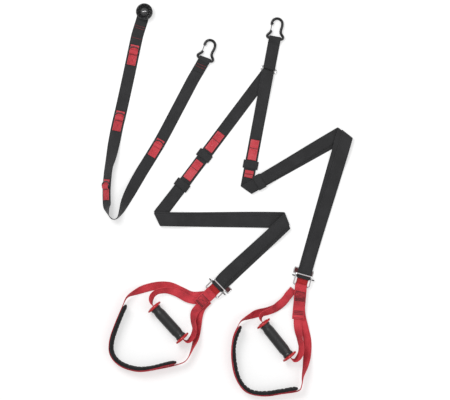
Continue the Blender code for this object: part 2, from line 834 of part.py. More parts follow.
def release_tab(side, leg, shift):
    """Thumb plate under the strap, ribbed at its free end, inside its wire bail."""
    half_length = RELEASE_TAB_LENGTH / 2
    half_width = RELEASE_TAB_WIDTH / 2
    chamfer = TAB_PLATE_THICKNESS / 4
    top = TAB_PLATE_THICKNESS - CLEARANCE
    toward = 1 if shift > 0 else -1
    outline = [(-half_length * toward, chamfer), ((chamfer - half_length) * toward, 0),
               ((half_length - chamfer) * toward, 0), (half_length * toward, chamfer),
               (half_length * toward, top - chamfer)]
    for rib in range(RELEASE_TAB_RIB_COUNT):
        centre = half_length - chamfer - RELEASE_TAB_RIB_PITCH * (rib + RIB_CREST_SHARE)
        for across, up in arc((0, 0), 1, 0, 180, RIB_STEPS):
            outline.append(((centre + across * RELEASE_TAB_RIB_PITCH * RIB_WIDTH_SHARE) * toward,
                            top + up * RELEASE_TAB_RIB_HEIGHT))
    outline += [((chamfer - half_length) * toward, top), (-half_length * toward, top - chamfer)]
    upright = Matrix.Rotation(math.pi / 2, 4, "X")
    place = buckle_matrix(leg) @ Matrix.Translation((shift, RELEASE_TAB_START + half_width, 0))
    tab = plate(side + "_release_tab", outline, RELEASE_TAB_WIDTH, "red_plastic", place @ upright)
    gap = RELEASE_WIRE + 2 * CLEARANCE
    bail = rounded_box(half_length + gap, half_width + gap, gap, 2)
    wire = rod(side + "_release_wire", [(across, along, 0) for across, along in bail],
               RELEASE_WIRE, "chrome", cyclic=True,
               matrix=place @ Matrix.Translation((0, 0, RELEASE_WIRE)))
    pivot(side + "_release_hinge", release_hinge_place(leg, shift), [tab, wire])


def release_hinge_place(leg, shift):
    """Middle of the bail's bar nearest the floating bar."""
    along = RELEASE_TAB_START - RELEASE_WIRE - 2 * CLEARANCE
    return buckle_matrix(leg) @ Vector((shift, along, RELEASE_WIRE))


RELEASE_TAB_SHIFTS = {"left": 0.008, "right": -0.004}


def build_buckles():
    for side, leg in (("left", LEFT_LEG), ("right", RIGHT_LEG)):
        buckle_frame(side, leg)
        floating_bar(side, leg)
        release_tab(side, leg, RELEASE_TAB_SHIFTS[side])


# Handles: stitched yoke, strap through the grip, cradle strap and foot pad

YOKE_WIDTH = 0.038
YOKE_BACK_LENGTH = 0.042
YOKE_STEPS = 8
GRIP_STEPS = 20
GRIP_LEVEL = FLANGE_RADIUS + CLEARANCE
PAD_LEVEL = PAD_WIDTH / 2 + CLEARANCE
FLOW_STEPS = 3
PAD_STEPS = 2
ON_EDGE = 90


def stack_level(layer):
    return FLOOR_LEVEL + layer * PITCH


def low(layer):
    return ("stack", layer)


def level_of(value):
    if value == "floor":
        return FLOOR_LEVEL
    if value == "grip":
        return GRIP_LEVEL
    if value == "pad":
        return PAD_LEVEL
    if value == "rise":
        return (FLOOR_LEVEL + GRIP_LEVEL) / 2
    return stack_level(value[1])


HANDLES = {
    "left": {
        "leg": LEFT_LEG,
        "yoke_end": (197.6, 305.2),
        "yoke_length": 0.056,
        "flanges": ((154.0, 306.1), (182.9, 338.2)),
        "pad": [(176.4, 361.6), (165.5, 363.8), (152.0, 367.2), (139.0, 368.2), (126.8, 365.4),
                (117.9, 360.2), (113.0, 353.0), (112.0, 344.5), (114.2, 334.5), (118.4, 323.0),
                (122.6, 312.5), (126.6, 304.6)],
        "near_grip": [((207.0, 299.0), low(4), 0), ((200.0, 305.6), low(4), 0),
                      ((194.6, 312.4), low(4), 15), ((193.4, 320.5), "rise", 50),
                      ((194.6, 327.4), "grip", 58), ((193.8, 333.6), "grip", 52),
                      ((191.0, 338.6), "grip", 56), ((187.4, 341.0), "grip", 72)],
        "far_grip": [((151.8, 302.8), "grip", 76), ((151.4, 299.2), "grip", 58),
                     ((152.6, 295.4), "grip", 50), ((156.4, 292.0), "grip", 48),
                     ((161.6, 290.4), "grip", 44), ((168.5, 290.2), "rise", 30),
                     ((177.0, 292.6), low(4), 0),
                     ((188.0, 298.6), low(3), 0), ((197.5, 300.0), low(2), 0),
                     ((206.0, 296.2), low(2), 0)],
        "near_pad": [((208.6, 300.4), low(3), 0), ((202.0, 307.6), low(3), 0),
                     ((199.0, 316.0), low(2), 10), ((197.6, 327.0), "floor", 20),
                     ((196.0, 338.5), "rise", 45), ((192.4, 348.0), "pad", 75),
                     ((186.6, 359.6), "pad", ON_EDGE)],
        "far_pad": [((127.4, 296.8), "pad", 80), ((136.0, 291.8), "rise", 45),
                    ((146.0, 288.2), "floor", 10), ((158.0, 285.6), "floor", 0),
                    ((170.0, 286.0), low(1), 0), ((181.0, 290.6), low(1), 0),
                    ((192.0, 295.4), low(1), 0), ((204.0, 295.0), low(1), 0)],
    },
    "right": {
        "leg": RIGHT_LEG,
        "yoke_end": (297.8, 320.0),
        "yoke_length": 0.105,
        "flanges": ((262.9, 322.5), (289.7, 356.4)),
        "pad": [(297.6, 387.6), (288.0, 389.2), (275.0, 391.4), (263.4, 392.6), (251.8, 391.2),
                (243.2, 385.2), (237.6, 375.0), (234.8, 362.7), (233.8, 349.3), (235.4, 338.6),
                (238.0, 331.6), (241.0, 325.8)],
        "near_grip": [((300.2, 289.5), low(4), 0), ((299.0, 300.0), low(4), 0),
                      ((297.8, 312.0), low(4), 0), ((297.4, 321.5), low(4), 0),
                      ((298.0, 329.0), low(5), 14), ((299.6, 338.0), "rise", 44),
                      ((301.0, 345.6), "grip", 48), ((300.6, 352.2), "grip", 46),
                      ((298.0, 357.4), "grip", 52), ((294.2, 359.8), "grip", 70)],
        "far_grip": [((260.8, 319.0), "grip", 76), ((260.8, 315.8), "grip", 60),
                     ((263.6, 312.8), "grip", 52), ((269.4, 310.6), "grip", 46),
                     ((276.0, 306.6), "rise", 30), ((283.0, 301.6), low(4), 0),
                     ((288.6, 295.0), low(3), 0), ((293.6, 289.0), low(2), 0)],
        "near_pad": [((301.4, 290.0), low(3), 0), ((301.0, 302.0), low(3), 0),
                     ((301.6, 315.0), low(3), 0), ((304.6, 328.0), low(2), 0),
                     ((307.4, 341.0), "floor", 0), ((307.2, 354.0), "floor", 15),
                     ((305.4, 366.0), "rise", 50), ((302.6, 376.0), "pad", 80),
                     ((301.6, 384.4), "pad", ON_EDGE)],
        "far_pad": [((241.6, 320.2), "pad", 80), ((250.0, 316.0), "rise", 45),
                    ((257.6, 313.2), "floor", 10), ((267.0, 311.2), "floor", 0),
                    ((276.0, 307.6), low(1), 0), ((283.6, 301.6), low(1), 0),
                    ((288.6, 294.8), low(1), 0), ((293.4, 289.4), low(1), 0)],
    },
}


def lower_bar(leg):
    """Middle of the bar that the yoke hangs on."""
    return buckle_matrix(leg) @ Vector((0, -BUCKLE_LOWER_BAR, 0))


def yoke(side, spec):
    """Wide stitched strap folded round the buckle's lower bar over the four strap ends."""
    leg = spec["leg"]
    bar = lower_bar(leg)
    toward = plan(spec["yoke_end"]) - bar
    toward.z = 0
    toward.normalize()
    bar_row = leg.sides[-1]
    across = left_of(toward)
    if across.dot(bar_row) < 0:
        across = -across
    outward = leg.directions[-1]
    start = bar + outward * (YOKE_SLACK * SLACK_SHARE)
    middle = FLOOR_LEVEL + YOKE_WRAP
    rows = []

    def row(distance, level, share):
        direction = blend(bar_row, across, share).normalized()
        centre = start + (toward if distance > 0 else outward) * distance
        centre.z = level
        reach = YOKE_WIDTH / 2
        return (centre + direction * reach, centre - direction * reach)

    for step in range(YOKE_STEPS):
        share = 1 - step / YOKE_STEPS
        rows.append(row(YOKE_BACK_LENGTH * share, middle - YOKE_WRAP, smooth_step(share)))
    for step in range(LOOP_STEPS + 1):
        angle = math.pi * (step / LOOP_STEPS - 0.5)
        rows.append(row(-YOKE_WRAP * math.cos(angle), middle + YOKE_WRAP * math.sin(angle), 0))
    for step in range(1, YOKE_STEPS + 1):
        share = step / YOKE_STEPS
        turn = smooth_step(share * spec["yoke_length"] / YOKE_BACK_LENGTH)
        rows.append(row(spec["yoke_length"] * share, middle + YOKE_WRAP, turn))
    return strap(side + "_yoke", rows, "red_webbing")


def routed(table):
    return [(plan(pixel, level_of(level)), roll) for pixel, level, roll in table]


def grip_matrix(spec):
    near, far = (plan(pixel, GRIP_LEVEL) for pixel in spec["flanges"][::-1])
    axis = (near - far).normalized()
    return Matrix.Translation((near + far) / 2) @ axis.to_track_quat("Z", "Y").to_matrix().to_4x4()


def handle_strap(side, spec):
    matrix = grip_matrix(spec)
    mouth = GRIP_LENGTH / 2 + FLANGE_THICKNESS
    inside = [(matrix @ Vector((0, 0, share * mouth)), ON_EDGE)
              for share in (1, 0.5, 0, -0.5, -1)]
    route = routed(spec["near_grip"]) + inside + routed(spec["far_grip"])
    rows = strap_rows(flowing_frames(route, FLOW_STEPS, RED_WEBBING_WIDTH), RED_WEBBING_WIDTH)
    return strap(side + "_handle_strap", rows, "red_webbing")


def pad_frames(spec):
    route = [(plan(pixel, PAD_LEVEL), ON_EDGE) for pixel in spec["pad"]]
    return flowing_frames(route, PAD_STEPS, PAD_WIDTH)


def cradle_strap(side, spec):
    lift = PAD_THICKNESS / 2 + 3 * CLEARANCE + WEBBING_THICKNESS / 2
    beside = [(place - normal * lift, ON_EDGE) for place, across, normal in pad_frames(spec)[::3]]
    route = routed(spec["near_pad"]) + beside + routed(spec["far_pad"])
    rows = strap_rows(flowing_frames(route, FLOW_STEPS, RED_WEBBING_WIDTH), RED_WEBBING_WIDTH)
    return strap(side + "_cradle_strap", rows, "red_webbing")


PAD_CROWN_SHARES = [-1, -0.7, 0.7, 1]


def foot_pad(side, spec):
    """Padded sling, crowned between its bound edges and rounded at its ends."""
    rows = []
    half = PAD_WIDTH / 2
    for place, across, normal in pad_frames(spec):
        rows.append([place + across * (half * share) for share in PAD_CROWN_SHARES])
    obj = strap(side + "_foot_pad", rows, "pad_fabric", PAD_THICKNESS)
    crown = obj.modifiers.new("crown", "SUBSURF")
    crown.levels = 1
    crown.render_levels = 1
    return obj


CORE_REACH_SHARE = 0.88
FLANGE_RIM_SHARES = [(1, 0.72), (0.33, 0.66), (0, 0.5), (0.33, 0.3), (1, 0.22)]
GRIP_PROFILE_SHARES = [(-1, "end"), (-0.94, "end"), (-0.86, "neck"), (-0.6, "belly"), (0, "belly"),
                       (0.6, "belly"), (0.86, "neck"), (0.94, "end"), (1, "end")]


def grip(side, spec):
    matrix = grip_matrix(spec)
    half = GRIP_LENGTH / 2
    radii = {"end": GRIP_END_RADIUS, "neck": GRIP_NECK_RADIUS, "belly": GRIP_BELLY_RADIUS}
    inner = CORE_RADIUS + CLEARANCE
    profile = [(radii[kind], half * share) for share, kind in GRIP_PROFILE_SHARES[::-1]]
    profile += [(inner, -half), (inner, half)]
    turned(side + "_grip_sleeve", profile, "rubber", matrix, GRIP_STEPS)
    core_half = half + FLANGE_THICKNESS * CORE_REACH_SHARE
    core = [(CORE_RADIUS, core_half), (CORE_RADIUS, -core_half),
            (CORE_BORE, -core_half), (CORE_BORE, core_half)]
    turned(side + "_grip_core", core, "black_plastic", matrix, GRIP_STEPS)
    for name, direction in (("near", 1), ("far", -1)):
        flip = Matrix.Rotation(math.pi if direction < 0 else 0, 4, "X")
        place = Matrix.Translation((0, 0, half + CLEARANCE))
        turned(side + "_" + name + "_flange", flange_profile(), "red_plastic",
               matrix @ flip @ place, GRIP_STEPS)


def flange_profile():
    """Dished end cap: flat hub outward, rounded rim, cone toward the grip."""
    rim = FLANGE_THICKNESS / 3
    inner = CORE_RADIUS + CLEARANCE
    rounding = [(FLANGE_RADIUS - rim * inset, FLANGE_THICKNESS * up)
                for inset, up in FLANGE_RIM_SHARES]
    return ([(inner, FLANGE_THICKNESS), (GRIP_END_RADIUS, FLANGE_THICKNESS)] + rounding
            + [(GRIP_END_RADIUS, 0), (inner, 0)])


def build_handles():
    for side, spec in HANDLES.items():
        members = [yoke(side, spec), handle_strap(side, spec), cradle_strap(side, spec),
                   foot_pad(side, spec)]
        place = lower_bar(spec["leg"])
        place.z = LOWER_BAR_LEVEL
        pivot(side + "_handle_hinge", place, members)
        grip(side, spec)


# Anchor strap: door disc, one long webbing with four ring tabs, and its carabiner

ANCHOR_CARABINER_PIXEL = (204.8, 59.4)
ANCHOR_APEX_PIXEL = (212.3, 38.9)
ANCHOR_END_LENGTH = 0.045
ANCHOR_END_STEPS = 9
TWIST = 46
DISC_PIXEL = (144.5, 12.2)
DISC_HUB_SHARE = 0.36
DISC_STEPS = 32
DISC_HOLE_SIDES = 8
DISC_LIFT = WEBBING_THICKNESS + CLEARANCE
ANCHOR_ROUTE = [((144.6, 9.4), 0), ((143.6, 14.0), 0), ((141.8, 21.0), 0), ((138.0, 33.0), 0),
                ((135.6, 43.0), 0), ((131.6, 62.0), 0), ((127.8, 80.0), 0), ((121.4, 109.0), 0),
                ((117.6, 125.0), 0), ((114.6, 140.0), 6), ((111.4, 157.0), 30),
                ((108.7, 169.0), TWIST), ((106.9, 188.0), TWIST), ((107.0, 203.0), TWIST),
                ((107.6, 210.0), 68), ((109.6, 216.2), 88), ((113.4, 219.2), ON_EDGE),
                ((117.8, 217.8), 88), ((121.4, 211.6), 70), ((125.4, 202.0), 45),
                ((132.0, 189.0), 22), ((141.2, 172.6), 5), ((149.6, 159.0), 0),
                ((161.6, 139.0), 0), ((177.0, 110.0), 0), ((192.8, 80.0), 0)]
TAB_PIXELS = [((135.7, 45.2), (131.4, 65.2)), ((120.9, 111.2), (117.0, 131.0)),
              ((107.4, 179.5), (106.9, 200.0)), ((161.2, 139.8), (151.4, 156.4))]
TAB_THICKNESS = 0.0018
TAB_BAR_SHARE = 0.35
TAB_BUMP = 0.0088
TAB_BUMP_FLATNESS_SHARE = 1.8
TAB_STEPS = 28
D_RING_STEPS = 10
D_RING_CORNER_STEPS = 3
D_RING_LEG = 0.006


def anchor_frames():
    route = [(plan(pixel, FLOOR_LEVEL), roll) for pixel, roll in ANCHOR_ROUTE]
    return flowing_frames(route, FLOW_STEPS, WEBBING_WIDTH)


def frames_between(frames, start, end, steps):
    """Evenly spaced frames from the spot nearest `start` to the spot nearest `end`."""
    travelled = [0]
    for before, after in zip(frames, frames[1:]):
        travelled.append(travelled[-1] + (after[0] - before[0]).length)

    def nearest(place):
        found = []
        for index, (before, after) in enumerate(zip(frames, frames[1:])):
            along = after[0] - before[0]
            share = min(max((place - before[0]).dot(along) / along.length_squared, 0), 1)
            gap = (before[0] + along * share - place).length
            found.append((gap, travelled[index] + share * along.length))
        return min(found)[1]

    start_at = nearest(start)
    end_at = nearest(end)
    found = []
    for step in range(steps + 1):
        target = blend(start_at, end_at, step / steps)
        index = max(i for i, value in enumerate(travelled[:-1]) if value <= target)
        gap = travelled[index + 1] - travelled[index]
        share = (target - travelled[index]) / gap
        mixed = [blend(first, second, share)
                 for first, second in zip(frames[index], frames[index + 1])]
        found.append((mixed[0], mixed[1].normalized(), mixed[2].normalized()))
    return found


def anchor_webbing():
    frames = anchor_frames()
    rows = strap_rows(frames, WEBBING_WIDTH)
    bar = plan(ANCHOR_CARABINER_PIXEL)
    start = frames[-1][0]
    start_across = frames[-1][1]
    along = bar - start
    along.z = 0
    length = along.length
    along.normalize()
    outward = (plan(ANCHOR_APEX_PIXEL) - plan(ANCHOR_CARABINER_PIXEL)).normalized()
    across = -left_of(outward)
    if across.dot(start_across) < 0:
        across = -across
    half = WEBBING_WIDTH / 2
    lower = CARABINER_LEVEL - CARABINER_WRAP

    def row(distance, level, beyond=0.0):
        turn = smooth_step(distance / length)
        direction = blend(start_across, across, turn).normalized()
        centre = start + along * distance + outward * beyond
        centre.z = level
        return (centre + direction * half, centre - direction * half)

    for step in range(1, ANCHOR_END_STEPS + 1):
        share = step / ANCHOR_END_STEPS
        rows.append(row(length * share, blend(FLOOR_LEVEL, lower, smooth_step(share))))
    for step in range(1, LOOP_STEPS):
        angle = math.pi * (step / LOOP_STEPS - 0.5)
        level = CARABINER_LEVEL + CARABINER_WRAP * math.sin(angle)
        rows.append(row(length, level, CARABINER_WRAP * math.cos(angle)))
    for step in range(ANCHOR_END_STEPS + 1):
        distance = ANCHOR_END_LENGTH * step / ANCHOR_END_STEPS
        drop = smooth_step(distance / LOOP_CLOSE_LENGTH)
        level = blend(CARABINER_LEVEL + CARABINER_WRAP, lower + PITCH, drop)
        rows.append(row(length - distance, level))
    return strap("anchor_webbing", rows, "black_webbing")


def ring_tab(index, frames):
    """Sewn strap that lies under the ring's bow, then rolls over its bar."""
    base = (WEBBING_THICKNESS + TAB_THICKNESS) / 2 + CLEARANCE
    rise = TAB_THICKNESS + 2 * CLEARANCE + 2 * D_RING_WIRE
    half = TAB_WIDTH / 2
    rows = []
    steps = len(frames) - 1
    for step, (place, across, normal) in enumerate(frames):
        away = abs(step / steps - TAB_BAR_SHARE) * TAB_LENGTH
        lift = base + rise * smooth_step(TAB_BUMP_FLATNESS_SHARE * (1 - away / TAB_BUMP))
        centre = place + normal * lift
        rows.append((centre + across * half, centre - across * half))
    return strap("anchor_tab_" + str(index), rows, "red_webbing", TAB_THICKNESS)


def d_ring_outline():
    """Straight bar on local X, short upright legs from rounded corners, and an oval bow."""
    corner = 2 * D_RING_WIRE
    inset = D_RING_RADIUS - corner
    outline = arc((inset, corner), corner, -90, 0, D_RING_CORNER_STEPS)
    bow = D_RING_RADIUS - D_RING_LEG
    for across, along in arc((0, 0), 1, 0, 180, D_RING_STEPS):
        outline.append((D_RING_RADIUS * across, D_RING_LEG + bow * along))
    return outline + arc((-inset, corner), corner, 180, 270, D_RING_CORNER_STEPS)


def d_ring(index, frames, toward):
    """D-shaped wire ring whose straight bar lies under the tab's roll."""
    steps = len(frames) - 1
    place, across, normal = frames[round(steps * TAB_BAR_SHARE)]
    lift = WEBBING_THICKNESS / 2 + TAB_THICKNESS + 2 * CLEARANCE + D_RING_WIRE
    along = across.cross(normal) * toward
    centre = place + normal * lift
    turn = Matrix((across, along, across.cross(along))).transposed().to_4x4()
    points = [(x, y, 0) for x, y in d_ring_outline()]
    return rod("anchor_d_ring_" + str(index), points, D_RING_WIRE, "black_metal", cyclic=True,
               matrix=Matrix.Translation(centre) @ turn)


def anchor_disc():
    """Door anchor: moulded puck with a ring of blind holes and a pin across its hub."""
    origin = plan(DISC_PIXEL, DISC_LIFT)
    rim = DISC_RADIUS / 10
    dish = DISC_HEIGHT / 6
    hub = DISC_RADIUS * DISC_HUB_SHARE
    profile = [(0, DISC_HEIGHT - dish / 2), (hub, DISC_HEIGHT - dish / 2),
               (hub + rim, DISC_HEIGHT - dish), (DISC_RADIUS - 2 * rim, DISC_HEIGHT - dish / 3),
               (DISC_RADIUS - rim, DISC_HEIGHT), (DISC_RADIUS, DISC_HEIGHT - rim),
               (DISC_RADIUS, rim), (DISC_RADIUS - rim, 0), (0, 0)]
    disc = turned("anchor_disc", profile, "black_plastic", Matrix.Translation(origin),
                  DISC_STEPS)
    ring_radius = DISC_RADIUS - rim - DISC_HOLE_RADIUS
    depth = DISC_HEIGHT / 3
    for index in range(DISC_HOLE_COUNT):
        angle = math.tau * index / DISC_HOLE_COUNT
        mesh = bpy.data.meshes.new("hole_cutter")
        build = bmesh.new()
        bmesh.ops.create_cone(build, cap_ends=True, segments=DISC_HOLE_SIDES,
                              radius1=DISC_HOLE_RADIUS, radius2=DISC_HOLE_RADIUS,
                              depth=2 * depth)
        build.to_mesh(mesh)
        build.free()
        cutter = bpy.data.objects.new("hole_cutter", mesh)
        CUTTERS.objects.link(cutter)
        cutter.location = origin + Vector((ring_radius * math.cos(angle),
                                           ring_radius * math.sin(angle), DISC_HEIGHT))
        cutter.hide_render = True
        cutter.display_type = "WIRE"
        cut = disc.modifiers.new("hole", "BOOLEAN")
        cut.object = cutter
        cut.operation = "DIFFERENCE"
        cut.solver = "EXACT"
    return disc


def build_anchor():
    anchor_webbing()
    anchor_disc()
    frames = anchor_frames()
    for index, (start, end) in enumerate(TAB_PIXELS, 1):
        toward = -1 if index < len(TAB_PIXELS) else 1
        tab_frames = frames_between(frames, plan(start, FLOOR_LEVEL), plan(end, FLOOR_LEVEL),
                                    TAB_STEPS)
        ring_tab(index, tab_frames)
        d_ring(index, tab_frames, toward)
    origin = plan(ANCHOR_CARABINER_PIXEL, CARABINER_LEVEL)
    matrix = frame(origin, plan(ANCHOR_APEX_PIXEL) - plan(ANCHOR_CARABINER_PIXEL))
    carabiner("anchor_carabiner", matrix)
    gate("anchor_gate", matrix, "chrome")


clear_scene()
PARTS = collection("suspension_trainer")
CUTTERS = collection("cutters")
leg_webbing()
build_keepers_and_markers()
build_top()
build_buckles()
build_handles()
build_anchor()
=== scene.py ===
# The suspension trainer dressed: woven webbing, stitching, moulded grips, padded cradles, metal fittings.
import math

import bmesh
import bpy
from mathutils import Matrix, Vector, noise

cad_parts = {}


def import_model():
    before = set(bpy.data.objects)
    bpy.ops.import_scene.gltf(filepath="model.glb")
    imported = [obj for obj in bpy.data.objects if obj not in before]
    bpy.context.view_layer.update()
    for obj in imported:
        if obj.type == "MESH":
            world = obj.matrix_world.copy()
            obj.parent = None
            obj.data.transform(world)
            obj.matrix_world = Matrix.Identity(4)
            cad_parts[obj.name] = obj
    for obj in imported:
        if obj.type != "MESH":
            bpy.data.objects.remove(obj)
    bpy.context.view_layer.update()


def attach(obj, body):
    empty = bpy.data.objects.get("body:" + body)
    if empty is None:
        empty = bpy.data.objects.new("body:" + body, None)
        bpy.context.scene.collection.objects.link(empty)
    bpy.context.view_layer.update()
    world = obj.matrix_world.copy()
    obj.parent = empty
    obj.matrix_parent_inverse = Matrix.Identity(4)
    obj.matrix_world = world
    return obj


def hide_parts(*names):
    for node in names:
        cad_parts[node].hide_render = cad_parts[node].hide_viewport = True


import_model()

# Driving sizes of the layout, in metres; pixels are places in the photograph

METRES_PER_PIXEL = 0.00315
LAYOUT_CENTRE_PIXEL = (227.5, 199.8)
WEBBING_WIDTH = 0.038
WEBBING_THICKNESS = 0.002
RED_WEBBING_WIDTH = 0.025
CLEARANCE = 0.0003
PITCH = WEBBING_THICKNESS + CLEARANCE
FLOOR_LEVEL = WEBBING_THICKNESS / 2
DOUBLE_OFFSET = 0.0065
FOLD_STEPS = 6
LOOP_STEPS = 8
KEEPER_LENGTH = 0.026
KEEPER_THICKNESS = 0.0016
MARKER_WIDTH = 0.027
MARKER_RIDGE = 0.0016
MARKER_THICKNESS = 0.0018
DISC_HEIGHT = 0.024
TAB_LENGTH = 0.063
TAB_WIDTH = 0.0265
D_RING_RADIUS = 0.0165
D_RING_WIRE = 0.0017
CARABINER_WIRE = 0.0042
CARABINER_BASE = 0.050
CARABINER_HEIGHT = 0.063
CARABINER_CROWN = 0.0165
GATE_WIRE = 0.0011
RING_WIRE = 0.0025
RING_LENGTH = 0.053
RING_WIDTH = 0.0168
BUCKLE_WIRE = 0.0022
BUCKLE_HALF_WIDTH = 0.0256
BUCKLE_SPLAY = 0.0035
BUCKLE_BRIGHT_BAR = 0.009
BUCKLE_REAR_BAR = 0.024
BUCKLE_LOWER_BAR = 0.026
FLOATING_BAR_WIRE = 0.002
FLOATING_BAR_HALF_LENGTH = 0.036
TAB_PLATE_THICKNESS = 0.003
RELEASE_TAB_LENGTH = 0.058
GRIP_LENGTH = 0.121
FLANGE_RADIUS = 0.0255
FLANGE_THICKNESS = 0.0095
PAD_WIDTH = 0.044
PAD_THICKNESS = 0.013
TONGUE_WIDTH = 0.036
# where the buckle frame's painted highlight starts, on its local Y
BUCKLE_HIGHLIGHT_FROM = 0.005

# Cloth and thread, in metres

WEAVE_PITCH = 0.0016
STITCH_PITCH = 0.0034
STITCH_LENGTH = 0.0027
STITCH_RADIUS = 0.00028
SMALLEST_GAP = 1e-9

# Camera, light and floor

FLOOR_COLOUR = (0.62, 0.62, 0.62)
FLOOR_GLOW = 0.47
WORLD_STRENGTH = 0.54
CAMERA_HEIGHT = 7.0
CAMERA_VIEW_WIDTH = 1.4175
CAMERA_PLACE = (-0.0079, -0.0006)
SENSOR_WIDTH = 36
FARTHEST_SEEN = 50
FLOOR_SIZE = 9
FLOOR_DROP = 0.0002
KEY_LIGHT = {"place": (-1.2, 1.3, 2.6), "size": 1.5, "power": 46}
FILL_LIGHT = {"place": (1.6, -0.9, 2.2), "size": 2.0, "power": 14}


def camera():
    """Straight down on the layout from far off, as the photograph is taken."""
    data = bpy.data.cameras.new("camera")
    data.sensor_width = SENSOR_WIDTH
    data.lens = data.sensor_width * CAMERA_HEIGHT / CAMERA_VIEW_WIDTH
    data.clip_end = FARTHEST_SEEN
    obj = bpy.data.objects.new("camera", data)
    obj.location = (*CAMERA_PLACE, CAMERA_HEIGHT)
    bpy.context.scene.collection.objects.link(obj)
    bpy.context.scene.camera = obj


def area_light(name, place, size, power):
    """Square white lamp that faces the middle of the layout."""
    data = bpy.data.lights.new(name, "AREA")
    data.shape = "RECTANGLE"
    data.size = size
    data.size_y = size
    data.energy = power
    obj = bpy.data.objects.new(name, data)
    obj.location = place
    obj.rotation_euler = (-Vector(place)).to_track_quat("-Z", "Y").to_euler()
    bpy.context.scene.collection.objects.link(obj)


# Materials, all procedural

SELVEDGE_INSET = 0.0026
SELVEDGE_LINE = 0.0005
SELVEDGE_EDGE = 0.0004
PICK_PITCH = WEAVE_PITCH * 0.9
PICK_LEAN = 1.1                                         # radians that neighbouring ribs' picks differ
RIB_HEIGHT_SHARE = 0.35
PICK_HEIGHT_SHARE = 0.3
WEBBING_RELIEF = 0.0004
CLOTH_RELIEF = 0.0003
CLOTH_DENT = 0.002
METAL_GRAIN_DEPTH = 0.00008
THREAD_GRAIN_DEPTH = 0.0001
SHADE_STOPS = (0.32, 0.5, 0.7)                          # of the noise that shades the webbing
PAD_SHADE_STOPS = (0.3, 0.5, 0.72)
# near-white colour painted on the buckle's bright bar: painted highlight
BUCKLE_HIGHLIGHT_COLOUR = (0.97, 0.96, 0.97)
RUBBED_FROM = 0.55                                      # of an edge's pointedness
THREAD_DARK_SHARE = 0.55
WEBBING_SHADE_SCALE = 22.0                              # noise scales, larger is finer, as the next ones
WEBBING_FUZZ_SCALE = 900.0
CLOTH_SHADE_SCALE = 60.0
MOULDED_SHADE_SCALE = 45.0
SCUFF_SCALE = 260.0
HAZE_SCALE = 120.0
METAL_GRAIN_SCALE = 1400.0
TWIST_SCALE = 2500.0


class Graph:
    """A material's node tree, built with short calls."""

    def __init__(self, name):
        self.material = bpy.data.materials.new(name)
        self.material.use_nodes = True
        self.nodes = self.material.node_tree.nodes
        self.links = self.material.node_tree.links
        self.shader = self.nodes["Principled BSDF"]
        self.output = self.nodes["Material Output"]

    def node(self, kind, **values):
        made = self.nodes.new(kind)
        for key, value in values.items():
            setattr(made, key, value)
        return made

    def put(self, target, value):
        if isinstance(value, bpy.types.NodeSocket):
            self.links.new(value, target)
        elif isinstance(value, tuple) and len(value) == 3 and target.type == "RGBA":
            target.default_value = (*value, 1)
        else:
            target.default_value = value

    def math(self, operation, first, second=0.0, third=None, clamp=False):
        made = self.node("ShaderNodeMath", operation=operation, use_clamp=clamp)
        self.put(made.inputs[0], first)
        self.put(made.inputs[1], second)
        if third is not None:
            self.put(made.inputs[2], third)
        return made.outputs[0]

    def noise(self, scale, vector=None, detail=2.0, roughness=0.5):
        made = self.node("ShaderNodeTexNoise")
        self.put(made.inputs["Scale"], scale)
        self.put(made.inputs["Detail"], detail)
        self.put(made.inputs["Roughness"], roughness)
        if vector is not None:
            self.put(made.inputs["Vector"], vector)
        return made.outputs["Fac"]

    def ramp(self, value, *stops):
        made = self.node("ShaderNodeValToRGB")
        self.put(made.inputs[0], value)
        elements = made.color_ramp.elements
        while len(elements) < len(stops):
            elements.new(0.5)
        for element, (place, colour) in zip(elements, stops):
            element.position = place
            element.color = (*colour, 1)
        return made.outputs[0]

    def mix(self, share, first, second):
        made = self.node("ShaderNodeMix", data_type="RGBA")
        self.put(made.inputs["Factor"], share)
        self.put(made.inputs["A"], first)
        self.put(made.inputs["B"], second)
        return made.outputs["Result"]

    def spread(self, value, low, high):
        """Maps 0..1 to low..high."""
        made = self.node("ShaderNodeMapRange")
        self.put(made.inputs["Value"], value)
        made.inputs["To Min"].default_value = low
        made.inputs["To Max"].default_value = high
        return made.outputs["Result"]

    def bump(self, height, strength, distance, onto=None):
        made = self.node("ShaderNodeBump")
        made.inputs["Strength"].default_value = strength
        made.inputs["Distance"].default_value = distance
        self.put(made.inputs["Height"], height)
        if onto is not None:
            self.links.new(onto, made.inputs["Normal"])
        return made.outputs[0]

    def place(self):
        return self.node("ShaderNodeTexCoord").outputs["Object"]

    def weave(self):
        """Distance across and along the strap, in metres."""
        made = self.node("ShaderNodeSeparateXYZ")
        self.put(made.inputs[0], self.node("ShaderNodeUVMap", uv_map="weave").outputs[0])
        return made.outputs[0], made.outputs[1]

    def set(self, **values):
        names = {"colour": "Base Color", "roughness": "Roughness", "metallic": "Metallic",
                 "normal": "Normal", "sheen": "Sheen Weight", "sheen_roughness": "Sheen Roughness",
                 "sheen_tint": "Sheen Tint", "coat": "Coat Weight", "coat_roughness": "Coat Roughness",
                 "specular": "Specular IOR Level", "anisotropic": "Anisotropic", "ior": "IOR"}
        for key, value in values.items():
            self.put(self.shader.inputs[names[key]], value)
        return self.material


